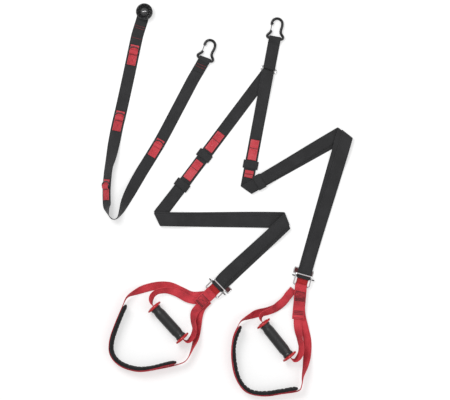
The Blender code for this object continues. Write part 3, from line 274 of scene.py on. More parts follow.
def webbing_material(name, colour, dark, light, half_width, selvedge, sheen, tint=(1, 1, 1)):
    """Flat woven webbing: lengthwise ribs crossed by the picks, darker lines beside the selvedges."""
    graph = Graph(name)
    across, along = graph.weave()
    rib = graph.math("SINE", graph.math("MULTIPLY", across, math.tau / WEAVE_PITCH))
    flip = graph.math("SINE", graph.math("MULTIPLY", across, math.pi / WEAVE_PITCH))
    lean = graph.math("MULTIPLY", graph.math("SIGN", flip), PICK_LEAN)
    pick = graph.math("SINE", graph.math("ADD", graph.math("MULTIPLY", along, math.tau / PICK_PITCH), lean))
    height = graph.math("MULTIPLY_ADD", rib, RIB_HEIGHT_SHARE,
                        graph.math("MULTIPLY", pick, PICK_HEIGHT_SHARE))
    distance = graph.math("ABSOLUTE", across)
    edge = graph.math("SUBTRACT", distance, half_width - SELVEDGE_INSET)
    line = graph.math("LESS_THAN", graph.math("ABSOLUTE", edge), SELVEDGE_LINE)
    outer = graph.math("GREATER_THAN", edge, SELVEDGE_EDGE)
    large = graph.noise(WEBBING_SHADE_SCALE, graph.place(), 3.0)
    fine = graph.noise(WEBBING_FUZZ_SCALE, graph.place(), 2.0)
    shade = graph.ramp(graph.math("MULTIPLY_ADD", fine, 0.45, graph.math("MULTIPLY", large, 0.55)),
                       *zip(SHADE_STOPS, (dark, colour, light)))
    # the weave's raised ribs and picks are painted lighter than its hollows: painted highlight on the tops,
    # painted shade in the hollows
    rib_highlight = graph.math("MULTIPLY", graph.math("ADD", height, 0.4), 0.35, clamp=True)
    shade = graph.mix(rib_highlight, shade, light)
    shade = graph.mix(graph.math("MULTIPLY", line, selvedge), shade, dark)
    shade = graph.mix(graph.math("MULTIPLY", outer, 0.35), shade, light)
    normal = graph.bump(graph.math("MULTIPLY_ADD", fine, 0.5, height), 0.7, WEBBING_RELIEF)
    return graph.set(colour=shade, roughness=graph.spread(large, 0.62, 0.8), normal=normal, sheen=sheen,
                     sheen_roughness=0.4, sheen_tint=tint, specular=0.4)


def cloth_material(name, colour, dark, light, pitch, sheen):
    """Close plain-woven cloth over a pad."""
    graph = Graph(name)
    across, along = graph.weave()
    warp = graph.math("SINE", graph.math("MULTIPLY", across, math.tau / pitch))
    weft = graph.math("SINE", graph.math("MULTIPLY", along, math.tau / pitch))
    height = graph.math("MULTIPLY", warp, weft)
    large = graph.noise(CLOTH_SHADE_SCALE, graph.place(), 4.0)
    shade = graph.ramp(large, *zip(PAD_SHADE_STOPS, (dark, colour, light)))
    # raised threads are painted lighter than the hollows between them: painted highlight and painted shade on
    # the weave
    shade = graph.mix(graph.math("MULTIPLY", graph.math("ADD", height, 1.0), 0.2, clamp=True), shade, light)
    normal = graph.bump(height, 0.5, CLOTH_RELIEF, graph.bump(large, 0.35, CLOTH_DENT))
    return graph.set(colour=shade, roughness=graph.spread(large, 0.75, 0.95), normal=normal, sheen=sheen,
                     sheen_roughness=0.5, specular=0.3)


def moulded_material(name, colour, dark, roughness, grain, grain_depth, coat=0.0, specular=0.5):
    """Moulded plastic or rubber: fine grain, faint flow shading and scuffs."""
    graph = Graph(name)
    large = graph.noise(MOULDED_SHADE_SCALE, graph.place(), 3.0)
    fine = graph.noise(grain, graph.place(), 2.0)
    scuff = graph.noise(SCUFF_SCALE, graph.place(), 6.0, 0.7)
    shade = graph.mix(graph.spread(large, 0.0, 0.5), colour, dark)
    rough = graph.math("MULTIPLY_ADD", scuff, 0.18, graph.spread(large, roughness - 0.12, roughness))
    normal = graph.bump(fine, 0.6, grain_depth)
    return graph.set(colour=shade, roughness=rough, normal=normal, coat=coat, coat_roughness=0.12,
                     specular=specular)


def metal_material(name, colour, worn_colour, roughness, metallic, wear, highlight_past=None):
    """Plated or coated metal with brushed haze and rubbed edges; painted near-white past a place on local Y,
    a painted highlight.
    """
    graph = Graph(name)
    haze = graph.noise(HAZE_SCALE, graph.place(), 5.0, 0.65)
    fine = graph.noise(METAL_GRAIN_SCALE, graph.place(), 2.0)
    pointed = graph.node("ShaderNodeNewGeometry").outputs["Pointiness"]
    uneven = graph.math("MULTIPLY_ADD", haze, 0.05, pointed)
    rubbed = graph.math("MULTIPLY", graph.math("GREATER_THAN", uneven, RUBBED_FROM), wear)
    shade = graph.mix(rubbed, colour, worn_colour)
    if highlight_past is not None:
        split = graph.node("ShaderNodeSeparateXYZ")
        graph.put(split.inputs[0], graph.place())
        # past this place the colour is painted near-white: painted highlight
        highlighted = graph.math("GREATER_THAN", split.outputs[1], highlight_past)
        shade = graph.mix(highlighted, shade, BUCKLE_HIGHLIGHT_COLOUR)
    rough = graph.math("MULTIPLY_ADD", haze, 0.14, roughness - 0.05)
    normal = graph.bump(fine, 0.15, METAL_GRAIN_DEPTH)
    return graph.set(colour=shade, roughness=rough, metallic=metallic, normal=normal, specular=0.5)


def thread_material(name, colour):
    """Twisted sewing thread."""
    graph = Graph(name)
    twist = graph.noise(TWIST_SCALE, graph.place(), 1.0)
    dark = tuple(part * THREAD_DARK_SHARE for part in colour)
    return graph.set(colour=graph.mix(graph.spread(twist, 0.0, 0.4), colour, dark), roughness=0.6,
                     normal=graph.bump(twist, 0.5, THREAD_GRAIN_DEPTH), sheen=0.2)


RED_WEAVE = {
    "colour": (0.60, 0.028, 0.044), "dark": (0.15, 0.004, 0.010), "light": (0.74, 0.075, 0.095),
    "selvedge": 0.5, "sheen": 0.08, "tint": (1, 0.5, 0.5)}
BRIGHT_METAL = {"worn_colour": (0.85, 0.85, 0.85), "roughness": 0.13, "metallic": 1.0, "wear": 0.2}
PATCH_EDGE = 0.0132                                     # where the patches' border line is measured from
LOOKS = {
    "black_webbing": (webbing_material, {
        "colour": (0.0165, 0.0165, 0.0178), "dark": (0.0070, 0.0070, 0.0078),
        "light": (0.032, 0.032, 0.034), "half_width": WEBBING_WIDTH / 2, "selvedge": 0.9, "sheen": 0.12}),
    "red_webbing": (webbing_material, {**RED_WEAVE, "half_width": RED_WEBBING_WIDTH / 2}),
    "red_yoke": (webbing_material, {**RED_WEAVE, "half_width": WEBBING_WIDTH / 2}),
    # darker than the yoke's red: partly the tongue's own deeper red, partly painted shade between the
    # webbing's roll and the yoke
    "red_tongue": (webbing_material, {
        "colour": (0.46, 0.012, 0.014), "dark": (0.15, 0.004, 0.006), "light": (0.56, 0.030, 0.034),
        "half_width": TONGUE_WIDTH / 2, "selvedge": 0.5, "sheen": 0.0}),
    "red_patch": (webbing_material, {
        "colour": (0.56, 0.036, 0.052), "dark": (0.30, 0.010, 0.020), "light": (0.68, 0.10, 0.12),
        "half_width": PATCH_EDGE, "selvedge": 0.3, "sheen": 0.12, "tint": (1, 0.6, 0.6)}),
    "pad_fabric": (cloth_material, {
        "colour": (0.0080, 0.0080, 0.0088), "dark": (0.0035, 0.0035, 0.0040),
        "light": (0.017, 0.017, 0.019), "pitch": 0.0014, "sheen": 0.06}),
    "binding": (cloth_material, {
        "colour": (0.46, 0.020, 0.036), "dark": (0.24, 0.008, 0.016), "light": (0.56, 0.06, 0.08),
        "pitch": 0.0010, "sheen": 0.1}),
    "black_plastic": (moulded_material, {
        "colour": (0.017, 0.017, 0.018), "dark": (0.010, 0.010, 0.011), "roughness": 0.42,
        "grain": 1600.0, "grain_depth": 0.00008}),
    "red_plastic": (moulded_material, {
        "colour": (0.56, 0.008, 0.012), "dark": (0.38, 0.005, 0.008), "roughness": 0.22,
        "grain": 700.0, "grain_depth": 0.00002, "coat": 0.4}),
    "release_plastic": (moulded_material, {
        "colour": (0.10, 0.006, 0.010), "dark": (0.05, 0.004, 0.006), "roughness": 0.36,
        "grain": 900.0, "grain_depth": 0.00003, "coat": 0.15}),
    "rubber": (moulded_material, {
        "colour": (0.0075, 0.0075, 0.0080), "dark": (0.0045, 0.0045, 0.0050), "roughness": 0.36,
        "grain": 1300.0, "grain_depth": 0.00012, "specular": 0.7}),
    "black_metal": (metal_material, {
        "colour": (0.014, 0.014, 0.015), "worn_colour": (0.16, 0.16, 0.16), "roughness": 0.36,
        "metallic": 0.55, "wear": 0.3}),
    "chrome": (metal_material, {**BRIGHT_METAL, "colour": (0.60, 0.595, 0.60)}),
    # chrome whose bright bar end is painted near-white: painted highlight
    "buckle_chrome": (metal_material, {**BRIGHT_METAL, "colour": (0.56, 0.555, 0.56),
                                       "highlight_past": BUCKLE_HIGHLIGHT_FROM}),
    "steel": (metal_material, {
        "colour": (0.11, 0.11, 0.115), "worn_colour": (0.40, 0.40, 0.40), "roughness": 0.22,
        "metallic": 1.0, "wear": 0.2}),
    "red_thread": (thread_material, {"colour": (0.30, 0.022, 0.034)}),
    # dark thread for the sewn seams, also laid in rows that paint shade past the markers' ridges and under
    # the tabs' rolls
    "dark_thread": (thread_material, {"colour": (0.045, 0.004, 0.008)}),
    "pale_thread": (thread_material, {"colour": (0.74, 0.30, 0.33)}),
}
MATERIALS = {name: make(name + "_visual", **values) for name, (make, values) in LOOKS.items()}


def floor():
    """Pale floor with the object's shadow; camera, mirror and glass rays see it lit to white."""
    bpy.ops.mesh.primitive_plane_add(size=FLOOR_SIZE, location=(0, 0, -FLOOR_DROP))
    obj = bpy.context.object
    obj.name = "floor"
    graph = Graph("floor_visual")
    path = graph.node("ShaderNodeLightPath")
    graph.set(colour=FLOOR_COLOUR, roughness=0.9, specular=0.1)
    glow = graph.node("ShaderNodeEmission")
    glow.inputs["Color"].default_value = (1, 1, 1, 1)
    seen = graph.math("MAXIMUM", path.outputs["Is Camera Ray"], path.outputs["Is Glossy Ray"])
    seen = graph.math("MAXIMUM", seen, path.outputs["Is Transmission Ray"])
    graph.links.new(graph.math("MULTIPLY", seen, FLOOR_GLOW), glow.inputs["Strength"])
    total = graph.node("ShaderNodeAddShader")
    graph.links.new(graph.shader.outputs[0], total.inputs[0])
    graph.links.new(glow.outputs[0], total.inputs[1])
    graph.links.new(total.outputs[0], graph.output.inputs["Surface"])
    obj.data.materials.append(graph.material)


def world():
    """Even white light from all round."""
    made = bpy.data.worlds.new("studio")
    bpy.context.scene.world = made
    made.use_nodes = True
    back = made.node_tree.nodes["Background"]
    back.inputs["Color"].default_value = (1, 1, 1, 1)
    back.inputs["Strength"].default_value = WORLD_STRENGTH


# Pieces

WIRE_END_RINGS = 3
WIRE_END_FLAT = 0.4
WIRE_END_BULGE_SHARE = 0.5
CRISP_DEGREES = 35
SLEEVE_CRISP_DEGREES = 50
TURNED_CRISP_DEGREES = 40
PLATE_CRISP_DEGREES = 30
LATHE_STEPS = 64
MERGE_DISTANCE = 1e-6
SHORTEST_KNOT = 1e-7


def finish_piece(obj, look, body, replaced=()):
    """Gives a piece its look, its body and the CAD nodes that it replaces."""
    obj.data.materials.clear()
    obj.data.materials.append(MATERIALS[look])
    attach(obj, body)
    if replaced:
        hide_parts(*replaced)
    return obj


def add_mesh(name, verts, faces, uvs=None, matrix=None):
    """New smooth-shaded object; `uvs` gives each vertex its metres across and along a strap."""
    mesh = bpy.data.meshes.new(name)
    mesh.from_pydata([tuple(vert) for vert in verts], [], faces)
    if uvs:
        layer = mesh.uv_layers.new(name="weave")
        for loop in mesh.loops:
            layer.data[loop.index].uv = uvs[loop.vertex_index]
    mesh.polygons.foreach_set("use_smooth", [True] * len(mesh.polygons))
    mesh.update()
    obj = bpy.data.objects.new(name, mesh)
    if matrix:
        obj.matrix_world = matrix
    bpy.context.scene.collection.objects.link(obj)
    return obj


def neighbours(points, index, closed=False):
    """The points before and after one, which stands in for itself at an open end."""
    last = len(points) - 1
    before = points[index - 1] if closed or index else points[0]
    after = points[(index + 1) % len(points)] if closed or index < last else points[last]
    return before, after


def ring_skin(count, size, closed=False):
    """Faces from each ring of points to the next, capped at both ends unless the rings close."""
    faces = []
    for ring in range(count if closed else count - 1):
        here = ring * size
        there = (ring + 1) % count * size
        for step in range(size):
            ahead = (step + 1) % size
            faces.append((here + step, here + ahead, there + ahead, there + step))
    if not closed:
        faces.append(tuple(range(size))[::-1])
        faces.append(tuple(range((count - 1) * size, count * size)))
    return faces


def turned_skin(steps, count, closed=True):
    """Faces of a profile of `count` points turned in `steps`; the profile closes or ends."""
    faces = []
    for step in range(steps):
        here = step * count
        there = (step + 1) % steps * count
        for index in range(count if closed else count - 1):
            follow = (index + 1) % count
            faces.append((here + index, there + index, there + follow, here + follow))
    return faces


def tube(name, points, radius, sides, matrix, closed=False):
    """Round wire along points, with rounded ends where it is open."""
    points = [Vector(point) for point in points]
    rings = []
    side = None
    for index, point in enumerate(points):
        before, after = neighbours(points, index, closed)
        tangent = (after - before).normalized()
        if side is None:
            side = tangent.orthogonal().normalized()
        side = (side - tangent * side.dot(tangent)).normalized()
        rings.append((point, side.copy(), tangent.cross(side), tangent, 1.0))
    if not closed:
        rings = rounded_end(rings[0], radius, -1)[::-1] + rings + rounded_end(rings[-1], radius, 1)
    verts = []
    for point, first, second, tangent, scale in rings:
        for step in range(sides):
            angle = math.tau * step / sides
            verts.append(point + (first * math.cos(angle) + second * math.sin(angle)) * radius * scale)
    return add_mesh(name, verts, ring_skin(len(rings), sides, closed), matrix=matrix)


def rounded_end(ring, radius, way):
    """Shrinking rings that round off a wire's end; `way` is 1 past the end, -1 before the start."""
    point, first, second, tangent = ring[:4]
    made = []
    for step in range(1, WIRE_END_RINGS + 1):
        angle = math.pi / 2 * step / (WIRE_END_RINGS + WIRE_END_FLAT)
        out = tangent * way * radius * math.sin(angle) * WIRE_END_BULGE_SHARE
        made.append((point + out, first, second, tangent, math.cos(angle)))
    return made


def smooth_path(points, steps, closed=False):
    """Curve through the points that doesn't overshoot on uneven spacing."""
    points = [Vector(point) for point in points]
    count = len(points)
    found = []
    last = count if closed else count - 1
    for index in range(last):
        start = points[index]
        end = points[(index + 1) % count]
        before = points[(index - 1) % count] if closed or index else start * 2 - end
        after = points[(index + 2) % count] if closed or index + 2 < count else end * 2 - start
        for step in range(steps):
            found.append(centripetal((before, start, end, after), step / steps))
    if not closed:
        found.append(points[-1])
    return found


def centripetal(points, share):
    """Point between the middle two on the centripetal Catmull-Rom curve through all four."""
    knots = [0.0]
    for first, second in zip(points, points[1:]):
        knots.append(knots[-1] + max((second - first).length, SHORTEST_KNOT) ** 0.5)
    target = knots[1] + (knots[2] - knots[1]) * share

    def between(first, second, start, end):
        return first + (second - first) * ((target - start) / (end - start))

    lines = [between(points[index], points[index + 1], knots[index], knots[index + 1])
             for index in range(3)]
    curves = [between(lines[index], lines[index + 1], knots[index], knots[index + 2])
              for index in range(2)]
    return between(*curves, knots[1], knots[2])


def lathe(name, profile, matrix, steps=LATHE_STEPS, closed=True):
    """Closed profile of (radius, height) turned about the matrix's Z axis."""
    verts = []
    for step in range(steps):
        angle = math.tau * step / steps
        for radius, height in profile:
            verts.append((radius * math.cos(angle), radius * math.sin(angle), height))
    obj = add_mesh(name, verts, turned_skin(steps, len(profile), closed), matrix=matrix)
    clean = bmesh.new()
    clean.from_mesh(obj.data)
    bmesh.ops.remove_doubles(clean, verts=clean.verts, dist=MERGE_DISTANCE)
    bmesh.ops.recalc_face_normals(clean, faces=clean.faces)
    clean.to_mesh(obj.data)
    clean.free()
    return obj


def crisp(obj, degrees=CRISP_DEGREES):
    """Smooth shading that keeps edges sharper than this angle."""
    limit = math.radians(degrees)
    mesh = bmesh.new()
    mesh.from_mesh(obj.data)
    for edge in mesh.edges:
        edge.smooth = len(edge.link_faces) != 2 or edge.calc_face_angle(0) < limit
    mesh.to_mesh(obj.data)
    mesh.free()
    return obj


def face_outward(obj):
    """Turns every face's normal outward."""
    mesh = bmesh.new()
    mesh.from_mesh(obj.data)
    bmesh.ops.recalc_face_normals(mesh, faces=mesh.faces)
    mesh.to_mesh(obj.data)
    mesh.free()
    return obj


# Places in the layout


def plan(pixel, height=0.0):
    """Place in the layout of a pixel of the photograph."""
    across = (pixel[0] - LAYOUT_CENTRE_PIXEL[0]) * METRES_PER_PIXEL
    along = (LAYOUT_CENTRE_PIXEL[1] - pixel[1]) * METRES_PER_PIXEL
    return Vector((across, along, height))


def left_of(direction):
    return Vector((-direction.y, direction.x, 0))


def flat_frame(origin, along):
    """Local X across to the right of `along`, local Y along it, local Z up."""
    forward = Vector((along.x, along.y, 0)).normalized()
    right = -left_of(forward)
    turn = Matrix((right, forward, Vector((0, 0, 1)))).transposed()
    return Matrix.Translation(origin) @ turn.to_4x4()


def smooth_step(share):
    clamped = min(max(share, 0), 1)
    return clamped * clamped * (3 - 2 * clamped)


def blend(first, second, share):
    return first + (second - first) * share


def arc(centre, radius, start, end, steps):
    """Points on a circle, angles in degrees."""
    points = []
    for index in range(steps + 1):
        angle = math.radians(blend(start, end, index / steps))
        points.append((centre[0] + radius * math.cos(angle), centre[1] + radius * math.sin(angle)))
    return points


def half_turn(radius, way=1):
    """(reach, rise) of each row inside a half turn round a bar, rising, or falling for way -1."""
    found = []
    for step in range(1, LOOP_STEPS):
        angle = way * math.pi * (step / LOOP_STEPS - 0.5)
        found.append((radius * math.cos(angle), radius * math.sin(angle)))
    return found


def cross_row(centre, direction, width):
    """Both edges of a strap's row, either way from its centre."""
    reach = direction * (width / 2)
    return (centre + reach, centre - reach)


def distances(points):
    """Distance travelled along the points, at each of them."""
    travelled = [0.0]
    for before, after in zip(points, points[1:]):
        travelled.append(travelled[-1] + (after - before).length)
    return travelled


def rounded_box(half_length, half_width, radius, steps):
    points = []
    for side, end, start in ((1, 1, 0), (-1, 1, 90), (-1, -1, 180), (1, -1, 270)):
        centre = (side * (half_length - radius), end * (half_width - radius))
        points += arc(centre, radius, start, start + 90, steps)
    return points


# Straps that flow and twist through the layout


def steady(before, start, end, after, share):
    """Cubic between two values that never overshoots them."""
    rise = end - start
    lead = slope_at(start - before, rise)
    trail = slope_at(rise, after - end)
    square = share * share
    cube = square * share
    return (start * (2 * cube - 3 * square + 1) + lead * (cube - 2 * square + share)
            + end * (3 * square - 2 * cube) + trail * (cube - square))


def slope_at(first, second):
    """Slope where two rises meet: none at a peak, otherwise their harmonic mean."""
    if first * second <= 0:
        return 0
    return 2 * first * second / (first + second)


def flowing_frames(route, steps, width):
    """Frames along a smooth curve through (place, roll in degrees); the strap stays off the floor."""
    points = [place for place, roll in route]
    rolls = [math.radians(roll) for place, roll in route]
    places = []
    turns = []
    for index in range(len(points) - 1):
        before = points[max(index - 1, 0)]
        after = points[min(index + 2, len(points) - 1)]
        for step in range(steps):
            share = step / steps
            place = spline_point(before, points[index], points[index + 1], after, share)
            place.z = steady(before.z, points[index].z, points[index + 1].z, after.z, share)
            places.append(place)
            turns.append(steady(rolls[max(index - 1, 0)], rolls[index], rolls[index + 1],
                                rolls[min(index + 2, len(rolls) - 1)], share))
    places.append(points[-1].copy())
    turns.append(rolls[-1])
    for place, turn in zip(places, turns):
        resting = FLOOR_LEVEL * math.sqrt(abs(math.cos(turn))) + width / 2 * abs(math.sin(turn))
        place.z = max(place.z, resting)
    frames = []
    for index, place in enumerate(places):
        behind, ahead = neighbours(places, index)
        tangent = (ahead - behind).normalized()
        level = left_of(tangent).normalized()
        upward = tangent.cross(level)
        across = level * math.cos(turns[index]) + upward * math.sin(turns[index])
        frames.append((place, across, tangent.cross(across)))
    return frames


def spline_point(before, start, end, after, share):
    """Uniform Catmull-Rom point between `start` and `end`."""
    square = share * share
    cube = square * share
    return 0.5 * (2 * start + (end - before) * share
                  + (2 * before - 5 * start + 4 * end - after) * square
                  + (3 * start - before - 3 * end + after) * cube)


def strap_rows(frames, width):
    return [cross_row(place, across, width) for place, across, normal in frames]


# The legs: one webbing from keeper to keeper, round both floating bars and the ring

LEG_PIXELS = {"left": [(157.9, 216.9), (285.6, 220.2), (217.3, 286.6)],
              "right": [(246.2, 188.6), (343.4, 133.4), (303.2, 277.6)]}
KEEPER_PIXELS = {"left": [(0, (203.6, 155.0)), (0, (181.6, 184.6))],
                 "right": [(0, (249.8, 164.6)), (1, (259.2, 181.6))]}
RING_CENTRE_PIXEL = (268.6, 69.8)
RING_TILT_DEGREES = -18
FOLD_RADIUS = 0.0033
ROW_BLEND = 0.032
HOLD_AFTER_FOLD = 0.055
SETTLE_LENGTH = 0.07
KEEPER_RAMP = 0.018
BUCKLE_RISE = 0.04
BUCKLE_SPREAD = 0.026
WRAP_HOLD = 0.095
RING_WRAP = RING_WIRE + 2 * CLEARANCE + WEBBING_THICKNESS / 2
RING_LEVEL = FLOOR_LEVEL + RING_WRAP
BAR_WRAP = FLOATING_BAR_WIRE + CLEARANCE + WEBBING_THICKNESS / 2
BUCKLE_STRAP_LEVEL = TAB_PLATE_THICKNESS + CLEARANCE + FLOOR_LEVEL
FLOATING_BAR_LEVEL = BUCKLE_STRAP_LEVEL + BAR_WRAP
KEEPER_LIFT = KEEPER_THICKNESS + CLEARANCE


def ring_direction():
    tilt = math.radians(RING_TILT_DEGREES)
    return Vector((math.cos(tilt), math.sin(tilt), 0))


def ring_bar(side):
    """Middle of the ring's upper (1) or lower (-1) bar."""
    reach = RING_WIDTH / 2 - RING_WIRE
    return plan(RING_CENTRE_PIXEL) + left_of(ring_direction()) * (side * reach)


class Leg:
    """Flat centre line with diagonal folds; each later stretch lies on the one before."""

    def __init__(self, pixels, double_from, offsets, keepers, ring_on_top):
        self.corners = [ring_bar(-1)] + [plan(pixel) for pixel in pixels]
        self.double_from = double_from
        self.offsets = offsets
        self.keepers = keepers
        self.ring_on_top = ring_on_top
        self.drift = {}
        self.directions = []
        for start, end in zip(self.corners, self.corners[1:]):
            self.directions.append((end - start).normalized())
        self.sides = [left_of(self.directions[0])]
        self.creases = [ring_direction()]
        for before, after in zip(self.directions, self.directions[1:]):
            outward = (before - after).normalized()
            crease = left_of(outward)
            if crease.dot(self.sides[-1]) < 0:
                crease = -crease
            side = left_of(after)
            if crease.dot(side) < 0:
                side = -side
            self.creases.append(crease)
            self.sides.append(side)
        if self.creases[0].dot(self.sides[0]) < 0:
            self.creases[0] = -self.creases[0]
        self.creases.append(self.sides[-1])

    def doubled(self, corner):
        return self.double_from <= corner

    def fold_height(self, corner):
        stack = PITCH if self.doubled(corner) else 0
        return FLOOR_LEVEL + stack + FOLD_RADIUS

    def length(self, stretch):
        return (self.corners[stretch + 1] - self.corners[stretch]).length

    def base(self, stretch, distance):
        """Height of the lowest layer's middle at a distance along a stretch."""
        if stretch == 0:
            start = FLOOR_LEVEL
            if self.ring_on_top:
                start = RING_LEVEL + RING_WRAP
            hold = WRAP_HOLD
        else:
            stack = PITCH if self.doubled(stretch) else 0
            start = 2 * self.fold_height(stretch) - FLOOR_LEVEL - stack
            hold = HOLD_AFTER_FOLD
        if stretch == 0 and self.ring_on_top:
            low = 2 * PITCH + FLOOR_LEVEL
            start = blend(start, low, smooth_step(distance / hold))
        height = blend(start, FLOOR_LEVEL, smooth_step((distance - hold) / SETTLE_LENGTH))
        for keeper_stretch, place in self.keepers:
            if keeper_stretch == stretch:
                away = abs(distance - place) - KEEPER_LENGTH / 2 - KEEPER_RAMP / 2
                lift = KEEPER_LIFT * smooth_step(1 - away / KEEPER_RAMP)
                height = max(height, FLOOR_LEVEL + lift)
        if stretch == len(self.directions) - 1:
            left = self.length(stretch) - distance - BUCKLE_REAR_BAR - BUCKLE_WIRE
            rise = smooth_step(1 - left / BUCKLE_RISE)
            height = blend(height, max(height, BUCKLE_STRAP_LEVEL), rise)
        return height

    def layer_height(self, stretch, distance, rank):
        height = self.base(stretch, distance) + rank * PITCH
        if stretch == len(self.directions) - 1:
            share = smooth_step(1 - (self.length(stretch) - distance) / BUCKLE_SPREAD)
            target = FLOATING_BAR_LEVEL - BAR_WRAP + 2 * rank * BAR_WRAP
            height = blend(height, target, share)
        return height

    def row(self, centre, direction, side):
        """Row through `centre`, cut along `direction`, of a strap whose true side is `side`."""
        return cross_row(centre, direction, WEBBING_WIDTH / abs(direction.dot(side)))

    def place(self, stretch, distance, offset, rank):
        centre = self.corners[stretch] + self.directions[stretch] * distance
        centre = centre + self.sides[stretch] * offset
        centre.z = self.layer_height(stretch, distance, rank)
        return centre

    def layer_rows(self, rank, sign, first_stretch=0, first_distance=0.0):
        """Rows of one layer from the ring (or a keeper) down to the floating bar."""
        rows = []
        start_distance = first_distance
        start_offset = sign * self.offsets[first_stretch]
        for stretch in range(first_stretch, len(self.directions)):
            forward = self.directions[stretch]
            side = self.sides[stretch]
            last = stretch == len(self.directions) - 1
            end_offset = sign * self.offsets[stretch + 1]
            end_crease = self.creases[stretch + 1]
            outward = left_of(end_crease)
            if outward.dot(forward) < 0:
                outward = -outward
            end_distance = self.length(stretch)
            if not last:
                end_distance -= end_offset * side.dot(outward) / forward.dot(outward)
            for distance in self.stops(stretch, start_distance, end_distance):
                share = (distance - start_distance) / (end_distance - start_distance)
                offset = blend(start_offset, end_offset, smooth_step(share))
                if last:
                    near = smooth_step((end_distance - distance) / BUCKLE_RISE)
                    offset = blend(sign * BUCKLE_SPLAY, offset, near)
                lead = smooth_step((distance - start_distance) / ROW_BLEND)
                start_row = self.creases[stretch]
                if stretch == first_stretch and first_distance > 0:
                    start_row = side
                trail = smooth_step((end_distance - distance) / ROW_BLEND)
                direction = blend(start_row, side, lead).normalized()
                direction = blend(end_crease, direction, trail).normalized()
                centre = self.place(stretch, distance, offset, rank)
                rows.append(self.row(centre, direction, side))
            if last:
                break
            corner = stretch + 1
            axis_height = self.fold_height(corner)
            centre = self.corners[corner] + side * end_offset
            centre = centre + forward * (end_distance - self.length(stretch))
            level = self.layer_height(stretch, end_distance, rank)
            radius = axis_height - level
            for step in range(1, FOLD_STEPS + 1):
                angle = math.pi * step / FOLD_STEPS
                travel = radius * angle
                point = centre + forward * (travel / forward.dot(outward))
                point = point + outward * (radius * math.sin(angle) - travel)
                point.z = level + radius * (1 - math.cos(angle))
                if step < FOLD_STEPS:
                    rows.append(self.row(point, end_crease, side))
            offset_vector = point - self.corners[corner]
            start_distance = offset_vector.dot(self.directions[corner])
            start_offset = offset_vector.dot(self.sides[corner])
            self.drift.setdefault(corner, start_offset)
            rank = 1 - rank if self.doubled(corner) else 0
        return rows

    def stops(self, stretch, start, end):
        """Distances of the rows: close together near folds, keepers and the buckle."""
        found = {start, end}
        third = ROW_BLEND / 3
        for step in range(1, 4):
            found.add(start + third * step)
            found.add(end - third * step)
        pitch = SETTLE_LENGTH / 3
        steps = int((end - start - 2 * ROW_BLEND) / pitch)
        for step in range(1, steps + 1):
            found.add(start + ROW_BLEND + (end - start - 2 * ROW_BLEND) * step / (steps + 1))
        for keeper_stretch, place in self.keepers:
            if keeper_stretch == stretch:
                for step in range(5):
                    reach = KEEPER_LENGTH / 2 + KEEPER_RAMP * (0.5 + step / 4)
                    found.update((place - reach, place + reach))
        ordered = sorted(distance for distance in found if start <= distance <= end)
        kept = [ordered[0]]
        for distance in ordered[1:-1]:
            if distance - kept[-1] > WEBBING_THICKNESS and end - distance > WEBBING_THICKNESS:
                kept.append(distance)
        return kept + [ordered[-1]]


def bar_loop_rows(leg, sign):
    """Half turn round the floating bar, from the upper layer on side `sign` to the lower."""
    rows = []
    for step, (reach, rise) in enumerate(half_turn(BAR_WRAP, -1), 1):
        splay = sign * BUCKLE_SPLAY * (1 - 2 * step / LOOP_STEPS)
        centre = leg.corners[-1] + leg.directions[-1] * reach
        centre = centre + leg.sides[-1] * splay
        centre.z = FLOATING_BAR_LEVEL + rise
        rows.append(leg.row(centre, leg.sides[-1], leg.sides[-1]))
    return rows


def ring_wrap_rows(leg):
    rows = []
    for reach, rise in half_turn(RING_WRAP):
        centre = leg.corners[0] + left_of(ring_direction()) * reach
        centre.z = RING_LEVEL + rise
        rows.append(cross_row(centre, leg.creases[0], WEBBING_WIDTH))
    return rows


def keeper_places(side):
    """Each keeper's stretch and its distance along that stretch, the upper one first."""
    corners = [ring_bar(-1)] + [plan(pixel) for pixel in LEG_PIXELS[side]]
    found = []
    for stretch, pixel in KEEPER_PIXELS[side]:
        start = corners[stretch]
        along = (corners[stretch + 1] - start).normalized()
        found.append((stretch, (plan(pixel) - start).dot(along)))
    return found


LEFT_LEG = Leg(LEG_PIXELS["left"], 1, [0, DOUBLE_OFFSET / 4, DOUBLE_OFFSET, DOUBLE_OFFSET],
               keeper_places("left"), False)
RIGHT_LEG = Leg(LEG_PIXELS["right"], 2, [0, 0, DOUBLE_OFFSET, DOUBLE_OFFSET / 2],
                keeper_places("right"), True)
LEGS = {"left": LEFT_LEG, "right": RIGHT_LEG}


def leg_rows():
    """One webbing: left return, left leg, round the ring, right leg, right return."""
    left_start = LEFT_LEG.keepers[1][1] - KEEPER_LENGTH / 2
    left_return = LEFT_LEG.layer_rows(1, -1, 0, left_start)
    left_main = LEFT_LEG.layer_rows(0, 1)
    right_start = RIGHT_LEG.keepers[1][1] - KEEPER_LENGTH / 2
    right_main = RIGHT_LEG.layer_rows(0, 1)
    right_return = RIGHT_LEG.layer_rows(1, -1, 1, right_start)
    left = left_return + bar_loop_rows(LEFT_LEG, -1) + left_main[::-1]
    right = right_main + bar_loop_rows(RIGHT_LEG, 1) + right_return[::-1]
    wrap = ring_wrap_rows(LEFT_LEG)
    if (wrap[-1][0] - right_main[0][0]).length > (wrap[-1][0] - right_main[0][1]).length:
        right = [(second, first) for first, second in right]
    return left + wrap + right


# Markers and the closed loop at the top

MARKER_PIXELS = {("left", "upper"): ((220.7, 132.8), (207.2, 149.8)),
                 ("left", "lower"): ((198.9, 160.6), (185.9, 178.4)),
                 ("right", "upper"): ((255.8, 140.0), (251.2, 160.0)),
                 ("right", "lower"): ((249.1, 170.4), (248.4, 177.6))}
MARKER_RIDGE_SHARE = 0.36
MARKER_STEPS = 16


